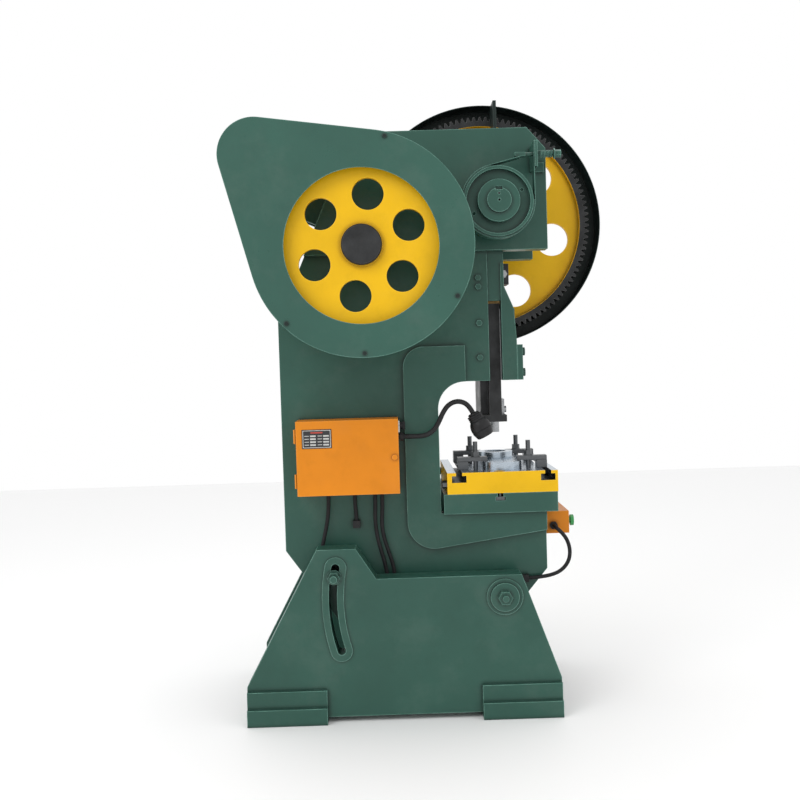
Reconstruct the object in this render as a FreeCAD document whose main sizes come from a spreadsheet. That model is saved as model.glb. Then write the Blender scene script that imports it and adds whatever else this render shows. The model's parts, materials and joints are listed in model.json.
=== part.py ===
import FreeCAD, Part
import math
import os
import re
import Sketcher

# Open-back inclinable mechanical stamping press, 25 tonne class, in millimetres.
# +X is the operator's side, +Z is up, and Y runs along the crankshaft, with the flywheel at -Y and
# the bull gear at +Y. The origin lies on the floor, in the middle of the four anchor bolts.
# Left means the flywheel side (-Y) and right the gear side (+Y).

SIZES = {
    # stand: two leg castings joined by two round bars
    "base_length": 1036, "leg_outer": 330, "leg_depth": 85, "leg_plate": 20, "leg_wall": 20,
    "foot_inner": 255, "foot_shoulder": 125, "leg_arch": 18,
    "leg_peak_rear": -277, "leg_peak_front": -148, "leg_peak_top": 571,
    "leg_saddle_rear": -83, "leg_saddle_front": 395, "leg_saddle_top": 470,
    "ledge_low_height": 55, "ledge_low_depth": 30, "ledge_high_height": 110, "ledge_high_depth": 15,
    "anchor_span_long": 860, "anchor_inset": 52, "anchor_hole": 11,
    "tie_span": 800, "tie_height": 95, "tie_radius": 22, "tie_socket": 55, "tie_boss": 38,
    # tilting pivot and its arc slot
    "pivot_along": 337, "pivot_height": 398, "pivot_pin": 25, "pivot_boss": 60, "pivot_washer": 47.5,
    "slot_radius": 564, "slot_half": 13.5, "slot_pad_half": 36, "slot_top_angle": 11.5,
    "slot_low_angle": -16.6, "slot_bolt_angle": 8.4, "slot_bolt": 12, "slot_pad_rise": 5,
    "tilt_boss": 42, "side_gap": 0.5, "run_gap": 0.05,
    # C frame
    "web_inner": 160, "web_outer": 200, "pad_outer": 225, "head_outer": 230, "guide_inner": 112,
    "back_edge": -388, "back_low": 549, "back_high": 1324, "slope_top": -115, "head_top": 1943,
    "head_front": 522, "head_chamfer_top": 461, "head_chamfer_low": 1873, "head_bottom": 1540,
    "frame_bottom": 300, "bottom_rear": -212, "bottom_front": 385,
    "bed_front": 497, "bed_chamfer_high": 463, "bed_chamfer_along": 429, "bed_chamfer_low": 382,
    "throat_back": 141, "guide_bottom": 1105, "throat_radius": 90, "guide_rear": 236,
    "table_rear": 150, "table_front": 532, "table_low": 663, "table_top": 729, "table_half": 250,
    "drop_hole": 60, "table_slot_at": 340, "slot_neck": 19, "slot_wide": 33, "slot_deep": 25,
    "pad_rear": 27, "pad_top": 1226, "pad_corner": 68, "pad_low": 545, "pad_low_corner": 90,
    "pad_turn": 125, "pad_front_low": 597, "top_plate": 40, "front_wall": 40,
    "column_front": 414, "column_slope_low": 1348, "column_slope_at": 406, "column_tip": 1422,
    "column_tip_at": 375, "column_shoulder": 1237, "bridge_low": 1374, "bridge_high": 1500,
    "bridge_inner": 152, "bridge_outer": 195,
    "tie_plate": 19, "tie_plate_top": 1224,
    # slide and its ways
    "crank_at": 348, "crank_height": 1684, "throw": 32.5,
    "wing_rear": 320, "wing_front": 362, "wing_half": 150, "slide_half": 108, "slide_top": 1366,
    "slide_bottom": 962, "foot_top": 985, "foot_front": 379, "column_rear": 293,
    "block_rear": 272, "block_front": 404, "block_low": 1110, "gib_thick": 12, "way_gap": 0.06,
    "shank_hole": 20, "shank_deep": 60, "sleeve_out": 44, "sleeve_small": 17.5, "sleeve_bore": 12.5,
    "ball_height": 1326, "ball": 28, "screw": 20, "pocket_side": 36, "pocket_rear": 70,
    "pocket_front": 36, "pocket_floor": 1280, "seat_thick": 8, "retainer_thick": 14,
    # crankshaft and connecting rod
    "journal": 40, "crank_end": 39, "bush_wall": 15, "boss_extra": 45, "boss_outer": 240,
    "crank_web": 75, "web_start": 62, "web_end": 108, "crank_pin": 42, "bush_inner_end": 120,
    "crank_near_end": 395, "crank_far_end": 402, "shell_wall": 6, "big_end": 72, "rod_half": 57,
    "rod_side": 42, "clamp_low": 1436, "clamp_high": 1508, "clamp_half": 60, "rod_split_gap": 0.2,
    # brake on the left end of the crankshaft
    "drum": 113, "drum_inner": 102.5, "drum_near": 368, "drum_far": 308, "drum_web": 330,
    "drum_web_thick": 14, "drum_hub": 68, "drum_hub_near": 384, "lining": 4, "band": 2.2,
    "band_gap": 0.4, "band_near": 363, "band_far": 313, "anchor_height": 1834, "anchor_top": 1874,
    # drive shaft, flywheel, belts and motor
    "gear_module": 7, "gear_teeth": 115, "pinion_teeth": 17, "drive_angle": 197.3,
    "shaft": 30, "bearing_outer": 55, "bearing_wide": 34, "drive_boss": 82,
    "shaft_near_end": 476, "shaft_far_end": 396, "gear_near": 300, "gear_far": 385,
    "gear_rim_inner": 374, "gear_web_near": 330, "gear_web_far": 352, "gear_hub": 82,
    "gear_hole": 62, "gear_hole_circle": 278, "gear_hole_count": 7,
    "backlash": 0.7,
    "wheel": 320, "wheel_rim_inner": 262, "wheel_near": 468, "wheel_far": 392,
    "wheel_web_near": 462, "wheel_web_far": 440, "wheel_hub": 66, "wheel_hub_near": 472,
    "wheel_hub_far": 384, "wheel_hole": 50, "wheel_hole_circle": 160, "wheel_hole_count": 6,
    "cap_radius": 64, "cap_thick": 14,
    "motor_at": -415, "motor_height": 1831, "pulley": 83, "belt_deep": 11, "belt_wide": 17,
    "belt_pitch": 21, "belt_count": 3, "belt_gap": 0.4, "belt_proud": 1,
    "motor_case": 100, "motor_foot": 112, "motor_near": 330, "motor_far": 80, "motor_shaft": 14,
    # guards
    "guard_near": 500, "guard_far": 372, "guard_sheet": 3, "guard_big": 352, "guard_small": 114,
    "guard_open": 241, "post": 8, "post_circle": 338,
    "ring_outer": 450, "ring_sheet": 3, "ring_near": 288, "ring_far": 400, "ring_open": 385, "ring_small": 84,
    # bolster and tooling
    "bolster_rear": 163, "bolster_front": 534, "bolster_thick": 72, "bolster_hole": 50,
    "bolster_slot_rear": 203, "bolster_slot_front": 501, "bolster_neck": 20, "bolster_wide": 48,
    "bolster_slot_low": 39, "bolster_slot_high": 61,
    "die_rear": 289, "die_front": 425, "die_half": 205, "die_thick": 27, "die_corner": 60,
    "ring_radius": 62, "ring_hole": 38, "ring_height": 22,
    "stud": 8, "stud_top": 895, "stud_side": 130, "strap_half": 18, "strap_thick": 15,
    # switch box, lamp and control box
    "box_rear": -331, "box_front": 4, "box_low": 748, "box_high": 993, "box_near": 330,
    "box_sheet": 2.5, "door_thick": 8, "cable": 6.5, "gland": 12, "gland_side": 222,
    "lamp_tube": 8.5, "lamp_side": 265, "lamp_height": 930, "lamp_radius": 34,
    "panel_front": 581, "panel_low": 574, "panel_high": 650, "panel_half": 160,
}


def derive(d):
    """Places that follow from the driving sizes."""
    centre = d["gear_module"] * (d["gear_teeth"] + d["pinion_teeth"]) / 2
    angle = math.radians(d["drive_angle"])
    swing = math.radians(d["slot_bolt_angle"])
    slope = math.hypot(d["slope_top"] - d["back_edge"], d["head_top"] - d["back_high"])
    return {
        "drive_at": d["crank_at"] + centre * math.cos(angle),
        "drive_height": d["crank_height"] + centre * math.sin(angle),
        "tilt_at": d["pivot_along"] - d["slot_radius"] * math.cos(swing),
        "tilt_height": d["pivot_height"] + d["slot_radius"] * math.sin(swing),
        "slope_run": (d["slope_top"] - d["back_edge"]) / slope,
        "slope_rise": (d["head_top"] - d["back_high"]) / slope,
        "slope_length": slope,
        "pin_height": d["crank_height"] + d["throw"],
        "bolster_top": d["table_top"] + d["bolster_thick"],
        "leg_inner": d["leg_outer"] - d["leg_depth"],
        "base_half": d["base_length"] / 2,
    }


doc = FreeCAD.newDocument("stamping_press")
dims = doc.addObject("Spreadsheet::Sheet", "Dims")
size = dict(SIZES)
size.update(derive(size))
for row, (alias, value) in enumerate(size.items(), start=1):
    dims.set("A%d" % row, alias)
    dims.set("B%d" % row, repr(round(value, 6)))
    dims.setAlias("B%d" % row, alias)
doc.recompute()
PIECES = {}


# ---------------------------------------------------------------- helpers

def linked(text):
    """A size formula with every alias written as a cell of the sheet."""
    return re.sub(r"[a-z_]+", lambda word: "Dims." + word.group(0) if word.group(0) in size
                  else word.group(0), str(text))


def number(text):
    """The present value of a size formula."""
    value = dims.evalExpression(linked(text))
    return float(getattr(value, "Value", value))


def bind(thing, name, text):
    thing.setExpression(name, linked(text))


def add(kind, name):
    return doc.addObject(kind, name)


def move_to(thing, at, turn=None):
    if turn:
        thing.Placement = FreeCAD.Placement(FreeCAD.Vector(), turn)
    for axis, text in zip("xyz", at):
        bind(thing, "Placement.Base." + axis, text)
    return thing


def keep(thing, node):
    """List a finished piece under its node; fasteners of one kind share a node."""
    PIECES.setdefault(node, []).append(thing)
    return thing


def box(name, along, across, up):
    """A block from the (low, high) limits along X, Y and Z."""
    block = add("Part::Box", name)
    for prop, (low, high) in zip(("Length", "Width", "Height"), (along, across, up)):
        bind(block, prop, "(%s) - (%s)" % (high, low))
    return move_to(block, (along[0], across[0], up[0]))


ROLL = {"X": FreeCAD.Rotation(FreeCAD.Vector(0, 1, 0), 90),
        "Y": FreeCAD.Rotation(FreeCAD.Vector(1, 0, 0), -90),
        "Z": FreeCAD.Rotation()}


def placed_on(thing, axis, centre, low):
    at = list(centre)
    at.insert("XYZ".index(axis), low)
    return move_to(thing, at, ROLL[axis])


def rod(name, axis, centre, span, radius):
    """A round bar along an axis, at the other two coordinates in centre."""
    bar = add("Part::Cylinder", name)
    bind(bar, "Radius", radius)
    bind(bar, "Height", "(%s) - (%s)" % (span[1], span[0]))
    return placed_on(bar, axis, centre, span[0])


def hexagon(name, axis, centre, span, flats):
    """A hexagonal bar measured across its flats."""
    bar = add("Part::Prism", name)
    bar.Polygon = 6
    bind(bar, "Circumradius", "(%s) / 1.7320508" % flats)
    bind(bar, "Height", "(%s) - (%s)" % (span[1], span[0]))
    return placed_on(bar, axis, centre, span[0])


def fuse(name, *pieces):
    whole = add("Part::MultiFuse", name)
    whole.Shapes = list(pieces)
    return whole


def cut(name, base, *tools):
    left = add("Part::Cut", name)
    left.Base = base
    left.Tool = tools[0] if len(tools) == 1 else fuse(name + "_tools", *tools)
    return left


def group(name, pieces):
    """Separate identical solids that share one node."""
    both = add("Part::Compound", name)
    both.Links = list(pieces)
    return both


def made(name, shape):
    piece = add("Part::Feature", name)
    piece.Shape = shape
    return piece


def sided(side, near, far):
    """The Y limits of something from near to far of the middle plane, on one side of it."""
    return (near, far) if side > 0 else ("-(%s)" % far, "-(%s)" % near)


def sketch_of(body, plane, points, offset):
    """A closed outline of straight lines, each corner held by two bound distances."""
    sketch = body.newObject("Sketcher::SketchObject", body.Name + "_outline")
    support = [f for f in body.Origin.OriginFeatures if f.Role == plane][0]
    sketch.AttachmentSupport = (support, [""])
    sketch.MapMode = "FlatFace"
    bind(sketch, "AttachmentOffset.Base.z", offset)
    corners = [FreeCAD.Vector(number(a), number(b), 0) for a, b in points]
    count = len(corners)
    for i in range(count):
        sketch.addGeometry(Part.LineSegment(corners[i], corners[(i + 1) % count]))
    for i in range(count):
        sketch.addConstraint(Sketcher.Constraint("Coincident", i, 2, (i + 1) % count, 1))
    for i, (a, b) in enumerate(points):
        for kind, text, value in (("DistanceX", a, corners[i].x), ("DistanceY", b, corners[i].y)):
            index = sketch.addConstraint(Sketcher.Constraint(kind, i, 1, value))
            if re.search("[a-z]", str(text)):
                bind(sketch, "Constraints[%d]" % index, text)
    return sketch


def plate(name, points, span, rounds=()):
    """An outline in X and Z carried along Y over span; rounds lists (x, z, radius) corners."""
    body = add("PartDesign::Body", name)
    sketch = sketch_of(body, "XZ_Plane", points, "-(%s)" % span[1])
    pad = body.newObject("PartDesign::Pad", name + "_pad")
    pad.Profile = sketch
    bind(pad, "Length", "(%s) - (%s)" % (span[1], span[0]))
    doc.recompute()
    for i, (x, z, radius) in enumerate(rounds):
        spot = (number(x), number(z))
        base = body.Tip
        edges = [("Edge%d" % (n + 1)) for n, e in enumerate(base.Shape.Edges)
                 if all(math.hypot(v.X - spot[0], v.Z - spot[1]) < 0.01 for v in e.Vertexes)]
        fillet = body.newObject("PartDesign::Fillet", "%s_round%d" % (name, i))
        fillet.Base = (base, edges)
        bind(fillet, "Radius", radius)
        doc.recompute()
    return body


def turned(name, axis, centre, profile):
    """A lathe-turned piece: profile lists (radius, place along the axis)."""
    body = add("PartDesign::Body", name)
    plane = {"Y": "XY_Plane", "Z": "XZ_Plane"}[axis]
    sketch = sketch_of(body, plane, profile, "0")
    spin = body.newObject("PartDesign::Revolution", name + "_spin")
    spin.Profile = sketch
    spin.ReferenceAxis = (sketch, ["V_Axis"])
    spin.Angle = 360
    at = [centre[0], "0", centre[1]] if axis == "Y" else [centre[0], centre[1], "0"]
    return move_to(body, at)


def ring(name, axis, centre, span, outer, inner):
    return turned(name, axis, centre, [(inner, span[0]), (outer, span[0]),
                                       (outer, span[1]), (inner, span[1])])


BACKWARD = FreeCAD.Rotation(FreeCAD.Vector(-1, 0, 0), FreeCAD.Vector(0, 0, 1),
                            FreeCAD.Vector(0, 1, 0))


def arc_bar(name, half, span):
    """A curved bar about the tilting pivot, with round ends, as wide as twice half."""
    low, high = size["slot_low_angle"], size["slot_top_angle"]
    turn = BACKWARD.multiply(FreeCAD.Rotation(FreeCAD.Vector(0, 0, 1), low))
    rings = []
    for tag, sign in (("outer", "+"), ("inner", "-")):
        sector = add("Part::Cylinder", name + "_" + tag)
        bind(sector, "Radius", "slot_radius %s (%s)" % (sign, half))
        bind(sector, "Height", "(%s) - (%s)" % (span[1], span[0]))
        bind(sector, "Angle", "slot_top_angle - slot_low_angle")
        rings.append(move_to(sector, ("pivot_along", span[0], "pivot_height"), turn))
    pieces = [cut(name + "_arc", rings[0], rings[1])]
    for tag, angle in (("low", low), ("high", high)):
        x = number("pivot_along") - number("slot_radius") * math.cos(math.radians(angle))
        z = number("pivot_height") + number("slot_radius") * math.sin(math.radians(angle))
        pieces.append(rod(name + "_" + tag, "Y", (x, z), span, half))
    return fuse(name, *pieces)


def loop_wire(first, second, y):
    """The tight loop round two circles, each given as (x, z, radius), in the plane at y."""
    (xa, za, ra), (xb, zb, rb) = first, second
    gap = math.hypot(xb - xa, zb - za)
    lean = math.atan2(zb - za, xb - xa)
    spread = math.acos((ra - rb) / gap)

    def on(x, z, r, angle):
        return FreeCAD.Vector(x + r * math.cos(angle), y, z + r * math.sin(angle))

    up, low = lean + spread, lean - spread
    edges = [Part.LineSegment(on(xa, za, ra, up), on(xb, zb, rb, up)).toShape(),
             Part.Arc(on(xb, zb, rb, up), on(xb, zb, rb, lean), on(xb, zb, rb, low)).toShape(),
             Part.LineSegment(on(xb, zb, rb, low), on(xa, za, ra, low)).toShape(),
             Part.Arc(on(xa, za, ra, low), on(xa, za, ra, lean + math.pi),
                      on(xa, za, ra, up)).toShape()]
    return Part.Wire(edges)


def loop_solid(first, second, y, depth):
    return Part.Face(loop_wire(first, second, y)).extrude(FreeCAD.Vector(0, depth, 0))


def tooth_outline(teeth, phase, y):
    """A spur gear's outline: each tooth has a root, a bent flank and a flat tip."""
    m = size["gear_module"]
    pitch, tip, root = m * teeth / 2, m * (teeth + 2) / 2, m * (teeth - 2.5) / 2
    thick = math.pi * m / 2 - size["backlash"] / 2
    base = pitch * math.cos(math.radians(20))

    def half_angle(radius):
        r = max(radius, base)
        spread = math.tan(math.acos(base / r)) - math.acos(base / r)
        lead = math.tan(math.radians(20)) - math.radians(20)
        return thick / 2 / pitch + lead - spread

    points = []
    for i in range(teeth):
        middle = phase + 2 * math.pi * i / teeth
        for radius, sign in ((root, -1), (pitch, -1), (tip, -1), (tip, 1), (pitch, 1), (root, 1)):
            angle = middle + sign * half_angle(radius)
            points.append(FreeCAD.Vector(radius * math.cos(angle), y, radius * math.sin(angle)))
    return Part.Wire(Part.makePolygon(points + points[:1]))


def corner_arc(before, corner, after):
    """The tangent arc that rounds one corner of a route, and its radius."""
    back, ahead = before - corner, after - corner
    run = 0.45 * min(back.Length, ahead.Length)
    turn = math.pi - back.getAngle(ahead)
    radius = run / math.tan(turn / 2)
    start = corner + FreeCAD.Vector(back).normalize() * run
    end = corner + FreeCAD.Vector(ahead).normalize() * run
    middle = (FreeCAD.Vector(back).normalize() + FreeCAD.Vector(ahead).normalize()).normalize()
    reach = radius / math.cos(turn / 2)
    return start, corner + middle * (reach - radius), end, radius


def tube(name, route, radius):
    """A round cord along straight runs joined by tangent arcs."""
    points = [FreeCAD.Vector(*p) for p in route]
    edges, last, radii = [], points[0], []
    for i in range(1, len(points) - 1):
        start, middle, end, bend = corner_arc(points[i - 1], points[i], points[i + 1])
        edges += [Part.LineSegment(last, start).toShape(), Part.Arc(start, middle, end).toShape()]
        last = end
        radii.append(bend)
    edges.append(Part.LineSegment(last, points[-1]).toShape())
    path = Part.Wire(edges)
    circle = Part.Circle(points[0], points[1] - points[0], radius)
    solid = path.makePipeShell([Part.Wire(circle.toShape())], True, True)
    share = solid.Volume / (math.pi * radius ** 2 * path.Length)
    print("%s: length %.0f, tightest bend %.0f, volume share %.4f" %
          (name, path.Length, min(radii), share))
    return made(name, solid)


def spring(name, centre, length, radius, wire, coils):
    """A helical compression spring along +X from centre."""
    helix = Part.makeHelix(length / coils, length, radius)
    circle = Part.Circle(FreeCAD.Vector(radius, 0, 0), FreeCAD.Vector(0, 1, 0), wire)
    solid = helix.makePipeShell([Part.Wire(circle.toShape())], True, True)
    piece = made(name, solid)
    piece.Placement = FreeCAD.Placement(FreeCAD.Vector(*centre), ROLL["X"])
    return piece


def hex_bolt(name, axis, centre, face, out, reach, flats, head, radius):
    """A bolt with its head on face, pointing out (+1 or -1), its shank going reach inwards."""
    if out > 0:
        cap, shank = (face, "%s + %s" % (face, head)), ("%s - %s" % (face, reach), face)
    else:
        cap, shank = ("%s - %s" % (face, head), face), (face, "%s + %s" % (face, reach))
    return fuse(name, hexagon(name + "_head", axis, centre, cap, flats),
                rod(name + "_shank", axis, centre, shank, "%s - 0.1" % radius))


SIDES = ((-1, "left"), (1, "right"))


# ---------------------------------------------------------------- stand

LEG = [("-base_half", 0), ("-base_half", "foot_shoulder"), ("leg_peak_rear", "leg_peak_top"),
       ("leg_peak_front", "leg_peak_top"), ("leg_saddle_rear", "leg_saddle_top"),
       ("leg_saddle_front", "leg_saddle_top"), ("base_half", "foot_shoulder"), ("base_half", 0),
       ("foot_inner", 0), ("foot_inner", "leg_arch"), ("-foot_inner", "leg_arch"),
       ("-foot_inner", 0)]


def leg_casting(side, tag):
    """One leg casting: a face plate with a deep rim, stepped feet, pivot boss and arc slot."""
    name = tag + "_leg"
    body = plate(name + "_body", LEG, sided(side, "leg_inner", "leg_outer"))
    inset = add("Part::Offset2D", name + "_inset")
    inset.Source = body.Group[0]
    inset.Join = 2
    bind(inset, "Value", "-leg_wall")
    hollow = add("Part::Extrusion", name + "_hollow")
    hollow.Base = inset
    hollow.DirMode = "Custom"
    hollow.Dir = FreeCAD.Vector(0, -1, 0)
    hollow.Solid = True
    bind(hollow, "LengthFwd", "leg_depth - leg_plate + 1")
    bind(hollow, "Placement.Base.y", "-leg_plate" if side > 0 else "1")
    solids = [cut(name + "_shell", body, hollow)]
    holes = []
    for end, sign in (("rear", -1), ("front", 1)):
        foot = sorted(("%d * foot_inner" % sign, "%d * base_half" % sign), key=number)
        for step in ("low", "high"):
            reach = sided(side, "leg_outer", "leg_outer + ledge_%s_depth" % step)
            solids.append(box("%s_%s_%s_ledge" % (name, end, step), foot, reach,
                              ("0", "ledge_%s_height" % step)))
        bar_at = ("%d * tie_span / 2" % sign, "tie_height")
        solids.append(rod("%s_%s_socket" % (name, end), "Y", bar_at,
                          sided(side, "leg_inner", "leg_outer - leg_plate / 2"), "tie_boss"))
        holes.append(rod("%s_%s_bore" % (name, end), "Y", bar_at,
                         sided(side, "leg_inner - 1", "leg_inner + tie_socket"), "tie_radius + run_gap"))
        anchor = ("%d * anchor_span_long / 2" % sign, "%d * (leg_outer - anchor_inset)" % side)
        holes.append(rod("%s_%s_anchor" % (name, end), "Z", anchor, ("-1", "leg_wall + 1"),
                         "anchor_hole"))
    pivot = ("pivot_along", "pivot_height")
    solids.append(rod(name + "_boss", "Y", pivot,
                      sided(side, "leg_inner", "leg_outer + slot_pad_rise"), "pivot_boss"))
    holes.append(rod(name + "_pivot", "Y", pivot,
                     sided(side, "leg_inner - 1", "leg_outer + slot_pad_rise + 1"),
                     "pivot_pin + run_gap"))
    solids.append(arc_bar(name + "_pad", "slot_pad_half",
                          sided(side, "leg_inner", "leg_outer + slot_pad_rise")))
    holes.append(arc_bar(name + "_slot", "slot_half",
                         sided(side, "leg_inner - 1", "leg_outer + slot_pad_rise + 1")))
    return keep(cut(name, fuse(name + "_solid", *solids), *holes), name)


def stand():
    pins = []
    for side, tag in SIDES:
        leg_casting(side, tag)
        pivot = ("pivot_along", "pivot_height")
        face = "leg_outer + slot_pad_rise"
        pins.append(fuse(tag + "_pivot_pin",
                         rod(tag + "_pin", "Y", pivot, sided(side, "web_inner", face), "pivot_pin"),
                         rod(tag + "_collar", "Y", pivot, sided(side, face, face + " + 8"),
                             "pivot_washer"),
                         hexagon(tag + "_nut", "Y", pivot, sided(side, face + " + 8", face + " + 26"),
                                 "42"),
                         rod(tag + "_end", "Y", pivot, sided(side, face + " + 26", face + " + 36"),
                             "11")))
    keep(group("pivot_pin_pair", pins), "pivot_pins")
    for end, sign in (("rear", -1), ("front", 1)):
        reach = "leg_inner + tie_socket - run_gap"
        bar = rod(end + "_bar", "Y", ("%d * tie_span / 2" % sign, "tie_height"),
                  ("-(%s)" % reach, reach), "tie_radius")
        keep(bar, "tie_bars")


# ---------------------------------------------------------------- C frame

def throat_corner(points):
    """The outline points shared by the web and its raised border, round the throat."""
    return [("guide_rear", "guide_bottom"), ("throat_back", "guide_bottom"),
            ("throat_back", "table_low")] + points


def frame_cheek(side, tag):
    web = plate(tag + "_web", [
        ("bottom_rear", "frame_bottom"), ("back_edge", "back_low"), ("back_edge", "back_high"),
        ("slope_top", "head_top"), ("head_chamfer_top", "head_top"),
        ("head_front", "head_chamfer_low"), ("head_front", "head_bottom"),
        ("wing_rear", "head_bottom"), ("wing_rear", "guide_bottom")] + throat_corner([
            ("bed_front", "table_low"), ("bed_front", "bed_chamfer_high"),
            ("bed_chamfer_along", "bed_chamfer_low"), ("bottom_front", "frame_bottom")]),
        sided(side, "web_inner", "web_outer"), [("throat_back", "guide_bottom", "throat_radius")])
    slope_foot = "back_edge + (head_bottom - back_high) * slope_run / slope_rise"
    head = plate(tag + "_head", [
        (slope_foot, "head_bottom"), ("slope_top", "head_top"), ("head_chamfer_top", "head_top"),
        ("head_front", "head_chamfer_low"), ("head_front", "head_bottom")],
        sided(side, "web_outer", "head_outer"))
    border = plate(tag + "_border", [
        ("pad_rear", "pad_low"), ("pad_rear", "pad_top"), ("guide_rear", "pad_top")] + throat_corner([
            ("bed_front", "table_low"), ("bed_front", "pad_front_low"), ("pad_turn", "pad_low")]),
        sided(side, "web_outer", "pad_outer"),
        [("throat_back", "guide_bottom", "throat_radius"), ("pad_rear", "pad_top", "pad_corner"),
         ("pad_rear", "pad_low", "pad_low_corner")])
    way = box(tag + "_way", ("guide_rear", "wing_rear - gib_thick"),
              sided(side, "guide_inner", "web_inner"), ("guide_bottom", "head_bottom"))
    column = plate(tag + "_column", [
        ("wing_front + 2", "guide_bottom"), ("column_front", "guide_bottom"),
        ("column_front", "column_shoulder"), ("column_slope_at", "column_slope_low"),
        ("column_tip_at", "column_tip"), ("column_tip_at", "bridge_high"),
        ("wing_front + 2", "bridge_high")], sided(side, "bridge_inner", "web_outer"))
    column_way = box(tag + "_column_way", ("wing_front + gib_thick", "column_front"),
                     sided(side, "guide_inner", "bridge_inner"), ("guide_bottom", "column_slope_low"))
    bridge = box(tag + "_bridge", ("wing_rear", "column_tip_at"),
                 sided(side, "bridge_inner", "bridge_outer"), ("bridge_low", "head_bottom"))
    bosses = [
        rod(tag + "_crank_boss", "Y", ("crank_at", "crank_height"),
            sided(side, "bush_inner_end", "boss_outer"), "journal + bush_wall + boss_extra"),
        rod(tag + "_drive_boss", "Y", ("drive_at", "drive_height"),
            sided(side, "web_inner - 10", "boss_outer"), "drive_boss"),
        rod(tag + "_pivot_lug", "Y", ("pivot_along", "pivot_height"),
            sided(side, "web_inner - 20", "leg_inner - side_gap"), "pivot_boss"),
        rod(tag + "_tilt_lug", "Y", ("tilt_at", "tilt_height"),
            sided(side, "web_inner - 20", "leg_inner - side_gap"), "tilt_boss")]
    return [web, head, border, way, column, column_way, bridge] + bosses


def frame_holes(side, tag):
    deep = sided(side, "guide_inner - 20", "boss_outer + 1")
    return [
        rod(tag + "_crank_bore", "Y", ("crank_at", "crank_height"), deep, "journal + bush_wall"),
        rod(tag + "_drive_bore", "Y", ("drive_at", "drive_height"), deep, "bearing_outer"),
        rod(tag + "_pivot_bore", "Y", ("pivot_along", "pivot_height"),
            sided(side, "web_inner - 30", "leg_inner"), "pivot_pin + run_gap"),
        rod(tag + "_tilt_bore", "Y", ("tilt_at", "tilt_height"),
            sided(side, "web_inner - 30", "leg_inner"), "slot_bolt")]


GIB_BOLT_AT = "guide_rear + 52"
GIB_BOLT_UP = (1184, 1300, 1422, 1452)


def frame_casting():
    inner = ("-web_inner", "web_inner")
    slope = ["back_edge + slope_run * %s", "back_high + slope_rise * %s"]
    rear_points = [(slope[0] % "220", slope[1] % "220"), (slope[0] % "slope_length",
                                                          slope[1] % "slope_length"),
                   ("slope_top + 38", "head_top"), (slope[0] % "220" + " + 38", slope[1] % "220")]
    solids = [
        box("table", ("table_rear", "table_front"), ("-table_half", "table_half"),
            ("table_low", "table_top")),
        box("top_wall", ("slope_top", "head_chamfer_top"), inner, ("head_top - top_plate", "head_top")),
        box("front_wall", ("head_front - front_wall", "head_front"), inner,
            ("crank_height - 60", "head_chamfer_low")),
        plate("rear_wall", rear_points, inner),
        box("back_rib", ("back_edge", "back_edge + 30"), inner, ("back_low", "back_low + 150")),
        box("bottom_wall", ("bottom_rear", "bottom_front"), inner,
            ("frame_bottom", "frame_bottom + 28")),
        box("bed_wall", ("bed_front - 28", "bed_front"), inner, ("bed_chamfer_high", "table_low")),
        box("guide_wall", ("guide_rear - 18", "guide_rear + 2"), inner,
            ("guide_bottom", "head_bottom - 60")),
        box("guide_link", ("guide_rear - 18", "guide_rear + 2"), inner,
            ("guide_bottom", "guide_bottom + 40"))]
    holes = [
        rod("drop", "Z", ("crank_at", "0"), ("table_low - 1", "table_top + 1"), "drop_hole"),
        box("table_neck", ("table_slot_at - slot_neck / 2", "table_slot_at + slot_neck / 2"),
            ("-table_half - 1", "table_half + 1"), ("table_top - slot_deep", "table_top + 1")),
        box("table_wide", ("table_slot_at - slot_wide / 2", "table_slot_at + slot_wide / 2"),
            ("-table_half - 1", "table_half + 1"),
            ("table_top - slot_deep", "table_top - slot_deep / 2"))]
    for side, tag in SIDES:
        solids += frame_cheek(side, tag)
        holes += frame_holes(side, tag)
        for i, up in enumerate(GIB_BOLT_UP):
            holes.append(rod("%s_gib_hole%d" % (tag, i), "Y", (GIB_BOLT_AT, up),
                             sided(side, "guide_inner + 18", "web_outer + 1"), "7"))
        for i, (across, up) in enumerate(TIE_PLATE_BOLTS):
            holes.append(rod("%s_plate_hole%d" % (tag, i), "X", ("%d * %s" % (side, across), up),
                             ("wing_front + 20", "column_front + 1"), "8"))
    keep(cut("frame_casting", fuse("frame_solid", *solids), *holes), "frame")


TIE_PLATE_BOLTS = (("170", "guide_bottom + 25"), ("170", "guide_bottom + 95"))


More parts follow.
